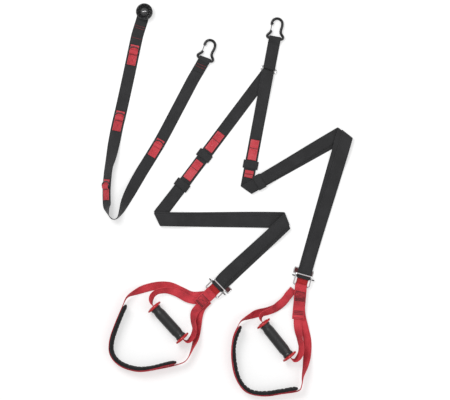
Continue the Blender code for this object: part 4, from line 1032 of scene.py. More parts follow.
def marker_rows(leg, pixels):
    """Sewn patch on a leg's first stretch, with a low ridge across it."""
    start, end = ((plan(pixel) - leg.corners[0]).dot(leg.directions[0]) for pixel in pixels)
    lift = (WEBBING_THICKNESS + MARKER_THICKNESS) / 2 + CLEARANCE
    rows = []
    for step in range(MARKER_STEPS + 1):
        share = step / MARKER_STEPS
        centre = leg.place(0, blend(start, end, share), 0, 0)
        ridge = max(0, 1 - abs(share - MARKER_RIDGE_SHARE) * MARKER_STEPS / 2)
        centre.z += lift + MARKER_RIDGE * smooth_step(ridge)
        rows.append(cross_row(centre, leg.sides[0], MARKER_WIDTH))
    return rows


TOP_CARABINER_PIXEL = (274.8, 38.6)
TOP_CARABINER_APEX_PIXEL = (278.2, 16.6)
LOOP_CLOSE_LENGTH = 0.022
LOOP_SIDE_STEPS = 14
CARABINER_WRAP = CARABINER_WIRE + 3 * CLEARANCE + WEBBING_THICKNESS / 2
CARABINER_LEVEL = max(CARABINER_WIRE + 2 * GATE_WIRE + 2 * CLEARANCE, CARABINER_WRAP + FLOOR_LEVEL)
CARABINER_BASE_SHARES = [(0, 0), (0.82, 0), (0.97, 0.055), (1.0, 0.13), (0.9, 0.225)]
CARABINER_WAIST_SHARES = [(0.68, 0.36), (0.6, 0.48)]
CARABINER_SHOULDER_SHARES = [(0.61, 0.66), (0.67, 0.86)]
CARABINER_NOSE_SHARES = [(-0.655, 0.9)]
CROWN_START_DEGREES = 15
CROWN_STEPS = 6


def loop_rows(first, second):
    """Closed loop over two bars, each given as (middle, wrap radius, row direction)."""
    along = second[0] - first[0]
    along.z = 0
    length = along.length
    along.normalize()
    rows = []

    def height(side, distance):
        middle = FLOOR_LEVEL + PITCH / 2
        near_first = 1 - smooth_step(distance / LOOP_CLOSE_LENGTH)
        near_second = 1 - smooth_step((length - distance) / LOOP_CLOSE_LENGTH)
        value = middle + side * PITCH / 2
        value = blend(value, first[0].z + side * first[1], near_first)
        return blend(value, second[0].z + side * second[1], near_second)

    def row(distance, level, beyond=0.0):
        share = smooth_step(distance / length)
        direction = blend(first[2], second[2], share).normalized()
        centre = first[0] + along * (distance + beyond)
        centre.z = level
        return cross_row(centre, direction, WEBBING_WIDTH)

    for step in range(LOOP_SIDE_STEPS + 1):
        distance = length * step / LOOP_SIDE_STEPS
        rows.append(row(distance, height(-1, distance)))
    for reach, rise in half_turn(second[1]):
        rows.append(row(length, second[0].z + rise, reach))
    for step in range(LOOP_SIDE_STEPS + 1):
        distance = length * (1 - step / LOOP_SIDE_STEPS)
        rows.append(row(distance, height(1, distance)))
    for reach, rise in half_turn(first[1], -1):
        rows.append(row(0, first[0].z + rise, -reach))
    return rows


def top_loop_rows():
    ring_end = ring_bar(1)
    ring_end.z = RING_LEVEL
    top_end = plan(TOP_CARABINER_PIXEL, CARABINER_LEVEL)
    side = -left_of((top_end - ring_end).normalized())
    side.z = 0
    return loop_rows((top_end, CARABINER_WRAP, side.normalized()),
                     (ring_end, RING_WRAP, ring_direction()))


# Buckles

STACK_LAYERS = 4
YOKE_WRAP = (STACK_LAYERS + 1) * PITCH / 2
YOKE_SLACK = YOKE_WRAP - WEBBING_THICKNESS / 2 - BUCKLE_WIRE - 2 * CLEARANCE
SLACK_SHARE = 0.7
LOWER_BAR_LEVEL = FLOOR_LEVEL + YOKE_WRAP + YOKE_SLACK * SLACK_SHARE
RELEASE_WIRE = 0.0014
RELEASE_TAB_WIDTH = 0.014
RELEASE_TAB_START = 0.0105
BRIGHT_BAR_LEVEL = (FLOATING_BAR_LEVEL + BAR_WRAP + WEBBING_THICKNESS / 2
                    + CLEARANCE + BUCKLE_WIRE)
RELEASE_TAB_SHIFTS = {"left": 0.008, "right": -0.004}


def buckle_matrix(leg):
    origin = leg.corners[-1].copy()
    origin.z = 0
    return flat_frame(origin, -leg.directions[-1])


# Handles: yoke, strap through the grip, cradle strap and foot pad

YOKE_BACK_LENGTH = 0.042
YOKE_STEPS = 8
GRIP_LEVEL = FLANGE_RADIUS + CLEARANCE
PAD_LEVEL = PAD_WIDTH / 2 + CLEARANCE
FLOW_STEPS = 3
PAD_STEPS = 2
ON_EDGE = 90
RISE_LEVEL = (FLOOR_LEVEL + GRIP_LEVEL) / 2
STACK = [FLOOR_LEVEL + layer * PITCH for layer in range(STACK_LAYERS + 2)]
HANDLES = {
    "left": {
        "leg": LEFT_LEG,
        "yoke_end": (197.6, 305.2),
        "yoke_length": 0.056,
        "flanges": ((154.0, 306.1), (182.9, 338.2)),
        "pad": [(176.4, 361.6), (165.5, 363.8), (152.0, 367.2), (139.0, 368.2), (126.8, 365.4),
                (117.9, 360.2), (113.0, 353.0), (112.0, 344.5), (114.2, 334.5), (118.4, 323.0),
                (122.6, 312.5), (126.6, 304.6)],
        "near_grip": [((207.0, 299.0), STACK[4], 0), ((200.0, 305.6), STACK[4], 0),
                      ((194.6, 312.4), STACK[4], 15), ((193.4, 320.5), RISE_LEVEL, 50),
                      ((194.6, 327.4), GRIP_LEVEL, 58), ((193.8, 333.6), GRIP_LEVEL, 52),
                      ((191.0, 338.6), GRIP_LEVEL, 56), ((187.4, 341.0), GRIP_LEVEL, 72)],
        "far_grip": [((151.8, 302.8), GRIP_LEVEL, 76), ((151.4, 299.2), GRIP_LEVEL, 58),
                     ((152.6, 295.4), GRIP_LEVEL, 50), ((156.4, 292.0), GRIP_LEVEL, 48),
                     ((161.6, 290.4), GRIP_LEVEL, 44), ((168.5, 290.2), RISE_LEVEL, 30),
                     ((177.0, 292.6), STACK[4], 0),
                     ((188.0, 298.6), STACK[3], 0), ((197.5, 300.0), STACK[2], 0),
                     ((206.0, 296.2), STACK[2], 0)],
        "near_pad": [((208.6, 300.4), STACK[3], 0), ((202.0, 307.6), STACK[3], 0),
                     ((199.0, 316.0), STACK[2], 10), ((197.6, 327.0), FLOOR_LEVEL, 20),
                     ((196.0, 338.5), RISE_LEVEL, 45), ((192.4, 348.0), PAD_LEVEL, 75),
                     ((186.6, 359.6), PAD_LEVEL, ON_EDGE)],
        "far_pad": [((127.4, 296.8), PAD_LEVEL, 80), ((136.0, 291.8), RISE_LEVEL, 45),
                    ((146.0, 288.2), FLOOR_LEVEL, 10), ((158.0, 285.6), FLOOR_LEVEL, 0),
                    ((170.0, 286.0), STACK[1], 0), ((181.0, 290.6), STACK[1], 0),
                    ((192.0, 295.4), STACK[1], 0), ((204.0, 295.0), STACK[1], 0)],
    },
    "right": {
        "leg": RIGHT_LEG,
        "yoke_end": (297.8, 320.0),
        "yoke_length": 0.105,
        "flanges": ((262.9, 322.5), (289.7, 356.4)),
        "pad": [(297.6, 387.6), (288.0, 389.2), (275.0, 391.4), (263.4, 392.6), (251.8, 391.2),
                (243.2, 385.2), (237.6, 375.0), (234.8, 362.7), (233.8, 349.3), (235.4, 338.6),
                (238.0, 331.6), (241.0, 325.8)],
        "near_grip": [((300.2, 289.5), STACK[4], 0), ((299.0, 300.0), STACK[4], 0),
                      ((297.8, 312.0), STACK[4], 0), ((297.4, 321.5), STACK[4], 0),
                      ((298.0, 329.0), STACK[5], 14), ((299.6, 338.0), RISE_LEVEL, 44),
                      ((301.0, 345.6), GRIP_LEVEL, 48), ((300.6, 352.2), GRIP_LEVEL, 46),
                      ((298.0, 357.4), GRIP_LEVEL, 52), ((294.2, 359.8), GRIP_LEVEL, 70)],
        "far_grip": [((260.8, 319.0), GRIP_LEVEL, 76), ((260.8, 315.8), GRIP_LEVEL, 60),
                     ((263.6, 312.8), GRIP_LEVEL, 52), ((269.4, 310.6), GRIP_LEVEL, 46),
                     ((276.0, 306.6), RISE_LEVEL, 30), ((283.0, 301.6), STACK[4], 0),
                     ((288.6, 295.0), STACK[3], 0), ((293.6, 289.0), STACK[2], 0)],
        "near_pad": [((301.4, 290.0), STACK[3], 0), ((301.0, 302.0), STACK[3], 0),
                     ((301.6, 315.0), STACK[3], 0), ((304.6, 328.0), STACK[2], 0),
                     ((307.4, 341.0), FLOOR_LEVEL, 0), ((307.2, 354.0), FLOOR_LEVEL, 15),
                     ((305.4, 366.0), RISE_LEVEL, 50), ((302.6, 376.0), PAD_LEVEL, 80),
                     ((301.6, 384.4), PAD_LEVEL, ON_EDGE)],
        "far_pad": [((241.6, 320.2), PAD_LEVEL, 80), ((250.0, 316.0), RISE_LEVEL, 45),
                    ((257.6, 313.2), FLOOR_LEVEL, 10), ((267.0, 311.2), FLOOR_LEVEL, 0),
                    ((276.0, 307.6), STACK[1], 0), ((283.6, 301.6), STACK[1], 0),
                    ((288.6, 294.8), STACK[1], 0), ((293.4, 289.4), STACK[1], 0)],
    },
}


def lower_bar(leg):
    """Middle of the bar that the yoke hangs on."""
    return buckle_matrix(leg) @ Vector((0, -BUCKLE_LOWER_BAR, 0))


def yoke_rows(spec):
    """Wide stitched strap folded round the buckle's lower bar over the four strap ends."""
    leg = spec["leg"]
    bar = lower_bar(leg)
    toward = plan(spec["yoke_end"]) - bar
    toward.z = 0
    toward.normalize()
    bar_row = leg.sides[-1]
    across = left_of(toward)
    if across.dot(bar_row) < 0:
        across = -across
    outward = leg.directions[-1]
    start = bar + outward * (YOKE_SLACK * SLACK_SHARE)
    middle = FLOOR_LEVEL + YOKE_WRAP
    rows = []

    def row(distance, level, share):
        direction = blend(bar_row, across, share).normalized()
        centre = start + (toward if distance > 0 else outward) * distance
        centre.z = level
        return cross_row(centre, direction, WEBBING_WIDTH)

    for step in range(YOKE_STEPS):
        share = 1 - step / YOKE_STEPS
        rows.append(row(YOKE_BACK_LENGTH * share, middle - YOKE_WRAP, smooth_step(share)))
    for step in range(LOOP_STEPS + 1):
        angle = math.pi * (step / LOOP_STEPS - 0.5)
        rows.append(row(-YOKE_WRAP * math.cos(angle), middle + YOKE_WRAP * math.sin(angle), 0))
    for step in range(1, YOKE_STEPS + 1):
        share = step / YOKE_STEPS
        turn = smooth_step(share * spec["yoke_length"] / YOKE_BACK_LENGTH)
        rows.append(row(spec["yoke_length"] * share, middle + YOKE_WRAP, turn))
    return rows


def routed(table):
    return [(plan(pixel, level), roll) for pixel, level, roll in table]


def grip_matrix(spec):
    near, far = (plan(pixel, GRIP_LEVEL) for pixel in spec["flanges"][::-1])
    axis = (near - far).normalized()
    return Matrix.Translation((near + far) / 2) @ axis.to_track_quat("Z", "Y").to_matrix().to_4x4()


def handle_strap_rows(spec):
    matrix = grip_matrix(spec)
    mouth = GRIP_LENGTH / 2 + FLANGE_THICKNESS
    inside = [(matrix @ Vector((0, 0, share * mouth)), ON_EDGE) for share in (1, 0.5, 0, -0.5, -1)]
    route = routed(spec["near_grip"]) + inside + routed(spec["far_grip"])
    return strap_rows(flowing_frames(route, FLOW_STEPS, RED_WEBBING_WIDTH), RED_WEBBING_WIDTH)


def pad_frames(spec):
    route = [(plan(pixel, PAD_LEVEL), ON_EDGE) for pixel in spec["pad"]]
    return flowing_frames(route, PAD_STEPS, PAD_WIDTH)


def cradle_strap_rows(spec):
    lift = PAD_THICKNESS / 2 + 3 * CLEARANCE + WEBBING_THICKNESS / 2
    beside = [(place - normal * lift, ON_EDGE) for place, across, normal in pad_frames(spec)[::3]]
    route = routed(spec["near_pad"]) + beside + routed(spec["far_pad"])
    return strap_rows(flowing_frames(route, FLOW_STEPS, RED_WEBBING_WIDTH), RED_WEBBING_WIDTH)


# Anchor strap, its tabs and rings

ANCHOR_CARABINER_PIXEL = (204.8, 59.4)
ANCHOR_APEX_PIXEL = (212.3, 38.9)
ANCHOR_END_LENGTH = 0.045
ANCHOR_END_STEPS = 9
TWIST = 46
DISC_PIXEL = (144.5, 12.2)
DISC_LIFT = WEBBING_THICKNESS + CLEARANCE
ANCHOR_ROUTE = [((144.6, 9.4), 0), ((143.6, 14.0), 0), ((141.8, 21.0), 0), ((138.0, 33.0), 0),
                ((135.6, 43.0), 0), ((131.6, 62.0), 0), ((127.8, 80.0), 0), ((121.4, 109.0), 0),
                ((117.6, 125.0), 0), ((114.6, 140.0), 6), ((111.4, 157.0), 30),
                ((108.7, 169.0), TWIST), ((106.9, 188.0), TWIST), ((107.0, 203.0), TWIST),
                ((107.6, 210.0), 68), ((109.6, 216.2), 88), ((113.4, 219.2), ON_EDGE),
                ((117.8, 217.8), 88), ((121.4, 211.6), 70), ((125.4, 202.0), 45),
                ((132.0, 189.0), 22), ((141.2, 172.6), 5), ((149.6, 159.0), 0),
                ((161.6, 139.0), 0), ((177.0, 110.0), 0), ((192.8, 80.0), 0)]
TAB_PIXELS = [((135.7, 45.2), (131.4, 65.2)), ((120.9, 111.2), (117.0, 131.0)),
              ((107.4, 179.5), (106.9, 200.0)), ((161.2, 139.8), (151.4, 156.4))]
TAB_THICKNESS = 0.0018
TAB_BAR_SHARE = 0.35
TAB_BUMP = 0.0088
TAB_BUMP_FLATNESS_SHARE = 1.8
TAB_STEPS = 28
D_RING_CORNER_STEPS = 3
D_RING_LEG = 0.006
D_RING_STEPS = 20


def anchor_frames():
    route = [(plan(pixel, FLOOR_LEVEL), roll) for pixel, roll in ANCHOR_ROUTE]
    return flowing_frames(route, FLOW_STEPS, WEBBING_WIDTH)


def frames_between(frames, start, end, steps):
    """Evenly spaced frames from the spot nearest `start` to the spot nearest `end`."""
    travelled = distances([place for place, across, normal in frames])

    def nearest(place):
        found = []
        for index, (before, after) in enumerate(zip(frames, frames[1:])):
            along = after[0] - before[0]
            share = min(max((place - before[0]).dot(along) / along.length_squared, 0), 1)
            gap = (before[0] + along * share - place).length
            found.append((gap, travelled[index] + share * along.length))
        return min(found)[1]

    start_at = nearest(start)
    end_at = nearest(end)
    found = []
    for step in range(steps + 1):
        target = blend(start_at, end_at, step / steps)
        index = max(spot for spot, value in enumerate(travelled[:-1]) if value <= target)
        gap = travelled[index + 1] - travelled[index]
        share = (target - travelled[index]) / gap
        mixed = [blend(first, second, share)
                 for first, second in zip(frames[index], frames[index + 1])]
        found.append((mixed[0], mixed[1].normalized(), mixed[2].normalized()))
    return found


def anchor_rows():
    """The route, then up to the carabiner, round its base and a short way back on top."""
    frames = anchor_frames()
    rows = strap_rows(frames, WEBBING_WIDTH)
    start, start_across = frames[-1][:2]
    along = plan(ANCHOR_CARABINER_PIXEL) - start
    along.z = 0
    length = along.length
    along.normalize()
    outward = (plan(ANCHOR_APEX_PIXEL) - plan(ANCHOR_CARABINER_PIXEL)).normalized()
    across = -left_of(outward)
    if across.dot(start_across) < 0:
        across = -across
    lower = CARABINER_LEVEL - CARABINER_WRAP

    def row(distance, level, beyond=0.0):
        turn = smooth_step(distance / length)
        direction = blend(start_across, across, turn).normalized()
        centre = start + along * distance + outward * beyond
        centre.z = level
        return cross_row(centre, direction, WEBBING_WIDTH)

    for step in range(1, ANCHOR_END_STEPS + 1):
        share = step / ANCHOR_END_STEPS
        rows.append(row(length * share, blend(FLOOR_LEVEL, lower, smooth_step(share))))
    for reach, rise in half_turn(CARABINER_WRAP):
        rows.append(row(length, CARABINER_LEVEL + rise, reach))
    for step in range(ANCHOR_END_STEPS + 1):
        distance = ANCHOR_END_LENGTH * step / ANCHOR_END_STEPS
        drop = smooth_step(distance / LOOP_CLOSE_LENGTH)
        level = blend(CARABINER_LEVEL + CARABINER_WRAP, lower + PITCH, drop)
        rows.append(row(length - distance, level))
    return rows


def ring_tab_rows(frames):
    """Sewn strap that lies under the ring's bow, then rolls over its bar."""
    base = (WEBBING_THICKNESS + TAB_THICKNESS) / 2 + CLEARANCE
    rise = TAB_THICKNESS + 2 * CLEARANCE + 2 * D_RING_WIRE
    rows = []
    steps = len(frames) - 1
    for step, (place, across, normal) in enumerate(frames):
        away = abs(step / steps - TAB_BAR_SHARE) * TAB_LENGTH
        lift = base + rise * smooth_step(TAB_BUMP_FLATNESS_SHARE * (1 - away / TAB_BUMP))
        rows.append(cross_row(place + normal * lift, across, TAB_WIDTH))
    return rows


def d_ring_outline():
    """Straight bar on local X, short upright legs from rounded corners, and an oval bow."""
    corner = 2 * D_RING_WIRE
    inset = D_RING_RADIUS - corner
    outline = arc((inset, corner), corner, -90, 0, D_RING_CORNER_STEPS)
    bow = D_RING_RADIUS - D_RING_LEG
    for across, along in arc((0, 0), 1, 0, 180, D_RING_STEPS):
        outline.append((D_RING_RADIUS * across, D_RING_LEG + bow * along))
    return outline + arc((-inset, corner), corner, 180, 270, D_RING_CORNER_STEPS)


def d_ring_place(frames, toward):
    """Where a D ring lies, its straight bar under the tab's roll."""
    steps = len(frames) - 1
    place, across, normal = frames[round(steps * TAB_BAR_SHARE)]
    lift = WEBBING_THICKNESS / 2 + TAB_THICKNESS + 2 * CLEARANCE + D_RING_WIRE
    along = across.cross(normal) * toward
    centre = place + normal * lift
    turn = Matrix((across, along, across.cross(along))).transposed().to_4x4()
    return Matrix.Translation(centre) @ turn


def tab_frames(index):
    start, end = TAB_PIXELS[index]
    return frames_between(anchor_frames(), plan(start, FLOOR_LEVEL), plan(end, FLOOR_LEVEL), TAB_STEPS)


# Ribbons: straps by distance along and across

SELVEDGE_SHARES = [(1.0, 0.0), (0.992, 0.55), (0.97, 0.92), (0.925, 1.0), (0.885, 0.93), (0.84, 0.985),
                   (0.5, 1.0), (0.0, 1.0)]
STITCH_SHARES = [(0.0, 0.25, -0.5), (0.22, 0.9, 0.35), (0.5, 1.0, 0.65), (0.78, 0.9, 0.35),
                 (1.0, 0.25, -0.5)]
STITCH_SIDES = 4


class Ribbon:
    """A strap's middle surface, found by metres along it and metres across from its middle."""

    def __init__(self, rows, fineness=2, closed=False):
        self.closed = closed
        self.middles = smooth_path([(first + second) / 2 for first, second in rows], fineness, closed)
        self.halves = smooth_path([(first - second) / 2 for first, second in rows], fineness, closed)
        self.travelled = distances(self.middles)
        self.length = self.travelled[-1]
        if closed:
            self.length += (self.middles[0] - self.middles[-1]).length
        self.normals = []
        for index, half in enumerate(self.halves):
            before, after = neighbours(self.middles, index, closed)
            self.normals.append((after - before).cross(half).normalized())

    def find(self, distance):
        """The two rows on either side of a distance, and the share of the way between them."""
        distance = min(max(distance, 0.0), self.travelled[-1] - SMALLEST_GAP)
        low = 0
        high = len(self.travelled) - 1
        while high - low > 1:
            middle = (low + high) // 2
            if self.travelled[middle] <= distance:
                low = middle
            else:
                high = middle
        gap = self.travelled[high] - self.travelled[low]
        return low, high, (distance - self.travelled[low]) / max(gap, SMALLEST_GAP)

    def normal_at(self, distance):
        low, high, share = self.find(distance)
        return self.normals[low].lerp(self.normals[high], share).normalized()

    def at(self, distance, across, lift=0.0):
        """Point at a distance along, metres across from the middle and lifted off the surface."""
        low, high, share = self.find(distance)
        middle = self.middles[low].lerp(self.middles[high], share)
        half = self.halves[low].lerp(self.halves[high], share)
        return middle + half.normalized() * across + self.normal_at(distance) * lift


def strap_profile(half_width, thickness):
    """Cross-section of woven webbing: rounded selvedges, a faint groove inside each, flat middle."""
    right = [(half_width * across, thickness / 2 * up) for across, up in SELVEDGE_SHARES]
    upper = right + [(-across, up) for across, up in right[-2::-1]]
    return upper + [(across, -up) for across, up in upper[-2:0:-1]]


def strap_piece(name, ribbon, look, body, replaced, thickness=WEBBING_THICKNESS):
    """Woven strap along a ribbon, with a UV map of metres across and along it."""
    verts = []
    uvs = []
    for middle, half, normal, distance in zip(ribbon.middles, ribbon.halves, ribbon.normals,
                                              ribbon.travelled):
        across = half.normalized()
        profile = strap_profile(half.length, thickness)
        for position, up in profile:
            verts.append(middle + across * position + normal * up)
            uvs.append((position, distance))
    obj = add_mesh(name, verts, ring_skin(len(ribbon.middles), len(profile), ribbon.closed), uvs)
    return finish_piece(face_outward(obj), look, body, replaced)


def stitches(name, ribbon, lines, look, body, lift, slot="red_webbing", girth=1.0):
    """Rows of sewn stitches, each line a list of (distance, across) on a strap's surface."""
    verts = []
    faces = []
    for line in lines:
        for start, end in zip(line, line[1:]):
            first = Vector(start)
            run = Vector(end) - first
            way = run.normalized() * (STITCH_LENGTH / 2)
            step_count = max(1, round(run.length / STITCH_PITCH))
            for step in range(step_count):
                at = first.lerp(Vector(end), (step + 0.5) / step_count)
                tail = ribbon.at(at.x - way.x, at.y - way.y, lift)
                head = ribbon.at(at.x + way.x, at.y + way.y, lift)
                normal = ribbon.normal_at(at.x) * math.copysign(1, lift)
                one_stitch(verts, faces, tail, head, normal, STITCH_RADIUS * girth)
    return finish_piece(add_mesh(name, verts, faces), look, body)


def one_stitch(verts, faces, tail, head, normal, radius):
    """Adds a short arched thread whose ends dip into the cloth."""
    along = head - tail
    side = along.cross(normal).normalized()
    base = len(verts)
    for share, thick, rise in STITCH_SHARES:
        centre = tail + along * share + normal * (rise * radius)
        for corner in range(STITCH_SIDES):
            angle = math.tau * corner / STITCH_SIDES + math.pi / 4
            verts.append(centre + (side * math.cos(angle) + normal * math.sin(angle)) * (radius * thick))
    for face in ring_skin(len(STITCH_SHARES), STITCH_SIDES):
        faces.append(tuple(base + corner for corner in face))


def box_cross(start, end, half, cross=True):
    """Box of stitching, with an X inside where it has room."""
    lines = [[(start, -half), (start, half), (end, half), (end, -half), (start, -half)]]
    if cross:
        lines += [[(start, -half), (end, half)], [(start, half), (end, -half)]]
    return lines


def bar_tack(distance, half, rows=3, spacing=0.0011):
    """Rows of stitching straight across the strap."""
    return [[(distance + spacing * row, -half), (distance + spacing * row, half)] for row in range(rows)]


# The legs, with a sliding and a sewn keeper on each

KEEPER_HALF_WIDTH = 0.0232
KEEPER_ROUNDING_SHARE = 0.8
KEEPER_COLUMNS = 7
KEEPER_CORNER_STEPS = 5
KEEPER_PINCH_SHARE = 0.35
KEEPER_PINCH_POWER = 8


def leg_webbing():
    """The one long strap; the keepers read the drift that working out its rows leaves on each leg."""
    ribbon = Ribbon(leg_rows())
    piece = strap_piece("leg_webbing_woven", ribbon, "black_webbing", "legs", ["leg_webbing"])


def keeper(name, centre, side, along, half_height, body):
    """Flat loop of webbing round the strap, thinner towards its two edges."""
    outline = rounded_box(KEEPER_HALF_WIDTH, half_height, half_height * KEEPER_ROUNDING_SHARE,
                          KEEPER_CORNER_STEPS)
    verts = []
    uvs = []
    for layer in (1, -1):
        run = 0.0
        for index, (across, up) in enumerate(outline):
            before, after = (Vector(point) for point in neighbours(outline, index, True))
            tangent = (after - before).normalized()
            normal = Vector((tangent.y, -tangent.x))
            run += (Vector((across, up)) - before).length
            for column in range(KEEPER_COLUMNS):
                share = column / (KEEPER_COLUMNS - 1) * 2 - 1
                pinch = KEEPER_THICKNESS / 2 * (1 - KEEPER_PINCH_SHARE * abs(share) ** KEEPER_PINCH_POWER)
                spot = Vector((across, up)) + normal * (layer * pinch)
                out = share * KEEPER_LENGTH / 2
                verts.append(centre + side * spot.x + Vector((0, 0, spot.y)) + along * out)
                uvs.append((out, run))
    faces = []
    block = len(outline) * KEEPER_COLUMNS
    for index in range(len(outline)):
        here = index * KEEPER_COLUMNS
        there = (index + 1) % len(outline) * KEEPER_COLUMNS
        for near, far in zip(range(here, here + KEEPER_COLUMNS - 1), range(there, block)):
            faces.append((near, far, far + 1, near + 1))
            faces.append((block + near, block + near + 1, block + far + 1, block + far))
        faces.append((here, block + here, block + there, there))
        here += KEEPER_COLUMNS - 1
        there += KEEPER_COLUMNS - 1
        faces.append((here, there, block + there, block + here))
    obj = face_outward(add_mesh(name + "_woven", verts, faces, uvs))
    finish_piece(obj, "black_webbing", body, [name])


def keepers():
    """The upper one slides on one layer of the leg; the lower one is sewn round two."""
    for side, leg in LEGS.items():
        for index, tag in enumerate(("upper", "lower")):
            stretch, distance = leg.keepers[index]
            centre = leg.place(stretch, distance, leg.drift.get(stretch, 0) / 2, 0)
            centre.z += index * PITCH / 2
            half_height = (WEBBING_THICKNESS + 2 * CLEARANCE + index * PITCH + KEEPER_THICKNESS) / 2
            keeper(side + "_" + tag + "_keeper", centre, leg.sides[stretch], leg.directions[stretch],
                   half_height, "legs" if index else side + "_keeper")


# Red markers on the legs and red tabs on the anchor strap

SEWN_LIFT = 0.0009
MARKER_SEAM_INSET = 0.004
MARKER_SEAM_HALF = 0.0108
MARKER_SEAM_GAP = 0.006
# dark thread lines that paint the shade past a marker's ridge
MARKER_SHADE_LINE_SHIFT = 0.0032
MARKER_SHADE_LINE_HALF = 0.0124
MARKER_SHADE_LINE_SPACING = 0.0007
MARKER_SHADE_LINE_GIRTH = 2.6
SHORT_MARKER = 0.04
TAB_SEAM_HALF = 0.0105
TAB_SEAM_SHIFT = 0.0135
TAB_SEAM_INSET = 0.003
TAB_END_SEAMS = (0.0018, 0.0042)
# dark thread lines that paint the shadow under a tab's roll
TAB_SHADE_LINE_SHIFT = 0.0104
TAB_SHADE_LINE_HALF = 0.0122
TAB_SHADE_LINE_SPACING = 0.0008
TAB_SHADE_LINE_GIRTH = 2.0
TAB_SEAM_GIRTH = 1.5
SHADE_LINE_ROWS = 3


def marker(name, rows):
    """Sewn patch with a box of stitching each side of its ridge, and rows of dark thread past the ridge that
    paint the shade beneath it.
    """
    ribbon = Ribbon(rows)
    piece = strap_piece(name + "_patch", ribbon, "red_patch", "legs", [name], MARKER_THICKNESS)
    middle = ribbon.length * MARKER_RIDGE_SHARE
    lines = []
    if ribbon.length > SHORT_MARKER:
        lines += box_cross(MARKER_SEAM_INSET, middle - MARKER_SEAM_GAP, MARKER_SEAM_HALF, False)
    lines += box_cross(middle + MARKER_SEAM_GAP, ribbon.length - MARKER_SEAM_INSET, MARKER_SEAM_HALF)
    thread = stitches(name + "_stitching", ribbon, lines, "pale_thread", "legs", SEWN_LIFT)
    # dark rows just past the ridge that paint the shade beneath it: painted shade, not stitching
    crease = stitches(name + "_shade_line", ribbon,
                      bar_tack(middle + MARKER_SHADE_LINE_SHIFT, MARKER_SHADE_LINE_HALF, SHADE_LINE_ROWS,
                               MARKER_SHADE_LINE_SPACING),
                      "dark_thread", "legs", SEWN_LIFT, girth=MARKER_SHADE_LINE_GIRTH)


def anchor_tab(name, rows):
    """Tab that holds a D ring: boxed at one end, twice tacked at the other, and past the bar rows of dark
    thread that paint the shadow under its roll.
    """
    ribbon = Ribbon(rows)
    piece = strap_piece(name + "_patch", ribbon, "red_patch", "anchor_strap", [name], TAB_THICKNESS)
    bar = TAB_BAR_SHARE * ribbon.length
    sewn = {"body": "anchor_strap", "lift": SEWN_LIFT}
    thread = stitches(name + "_stitching", ribbon,
                      box_cross(bar + TAB_SEAM_SHIFT, ribbon.length - TAB_SEAM_INSET, TAB_SEAM_HALF),
                      "dark_thread", girth=TAB_SEAM_GIRTH, **sewn)
    ends = stitches(name + "_end_stitching", ribbon,
                    [[(seam, -TAB_SEAM_HALF), (seam, TAB_SEAM_HALF)] for seam in TAB_END_SEAMS],
                    "pale_thread", **sewn)
    # dark rows past the bar that paint the shadow under the tab's roll: painted shadow, not stitching
    crease = stitches(name + "_shade_line", ribbon,
                      bar_tack(bar + TAB_SHADE_LINE_SHIFT, TAB_SHADE_LINE_HALF, SHADE_LINE_ROWS, TAB_SHADE_LINE_SPACING),
                      "dark_thread", girth=TAB_SHADE_LINE_GIRTH, **sewn)


# The loop between the ring and the carabiner, and the anchor strap

TOP_SEAMS = (0.055, 0.062, 0.094)
TOP_SEAM_HALF = 0.016
FOLD_SEAMS = (0.020, 0.029)
FOLD_SEAM_HALF = 0.015
SEAM_SPACING = 0.0009
ANCHOR_GIRTH = 2.2


def top_loop():
    """Short closed strap between the ring and the top carabiner."""
    ribbon = Ribbon(top_loop_rows(), closed=True)
    piece = strap_piece("top_loop_woven", ribbon, "black_webbing", "top_loop", ["top_loop_webbing"])


def anchor_seams(name, ribbon, seams, half, lift):
    """Double rows of red thread across the anchor strap."""
    lines = []
    for seam in seams:
        lines += bar_tack(seam, half, 2, SEAM_SPACING)
    return stitches(name, ribbon, lines, "red_thread", "anchor_strap", lift, "black_webbing", ANCHOR_GIRTH)


def anchor_webbing():
    """The anchor strap, sewn below the disc and where its end folds back, on the fold's outer face."""
    ribbon = Ribbon(anchor_rows())
    piece = strap_piece("anchor_webbing_woven", ribbon, "black_webbing", "anchor_strap",
                        ["anchor_webbing"])
    fold = ribbon.length - ANCHOR_END_LENGTH
    lift = WEBBING_THICKNESS / 2
    sewn = [anchor_seams("anchor_webbing_stitching", ribbon, TOP_SEAMS, TOP_SEAM_HALF, lift),
            anchor_seams("anchor_fold_stitching", ribbon, [fold + seam for seam in FOLD_SEAMS],
                         FOLD_SEAM_HALF, -lift)]


# Yokes, handle straps and cradle straps

YOKE_SEAM_HALF = 0.0155
YOKE_GIRTH = 3.0
YOKE_FACE_AT = 0.02                                     # where the side that faces up is looked for
HANDLE_STRAP_FINENESS = 3
YOKE_TACKS = {"left": (0.022, 0.046, 0.050),
              "right": (0.017, 0.037, 0.041, 0.045, 0.078, 0.083, 0.088)}
YOKE_BOXES = {"left": (0.028, 0.042), "right": (0.022, 0.034)}
YOKE_LAST_SEAMS = {"left": (), "right": (0.100,)}


def yoke(side, spec):
    """Wide strap round the buckle's lower bar, tacked, boxed and tacked again."""
    body = side + "_handle"
    ribbon = Ribbon(yoke_rows(spec))
    piece = strap_piece(side + "_yoke_woven", ribbon, "red_yoke", body, [side + "_yoke"])
    bar = ribbon.length - spec["yoke_length"]
    tacks = [bar_tack(bar + seam, YOKE_SEAM_HALF) for seam in YOKE_TACKS[side]]
    start, end = YOKE_BOXES[side]
    lines = tacks[0] + box_cross(bar + start, bar + end, YOKE_SEAM_HALF)
    for tack in tacks[1:]:
        lines += tack
    lines += [[(bar + seam, -YOKE_SEAM_HALF), (bar + seam, YOKE_SEAM_HALF)]
              for seam in YOKE_LAST_SEAMS[side]]
    lift = math.copysign(WEBBING_THICKNESS / 2, ribbon.normal_at(bar + YOKE_FACE_AT).z)
    thread = stitches(side + "_yoke_stitching", ribbon, lines, "dark_thread", body, lift, girth=YOKE_GIRTH)


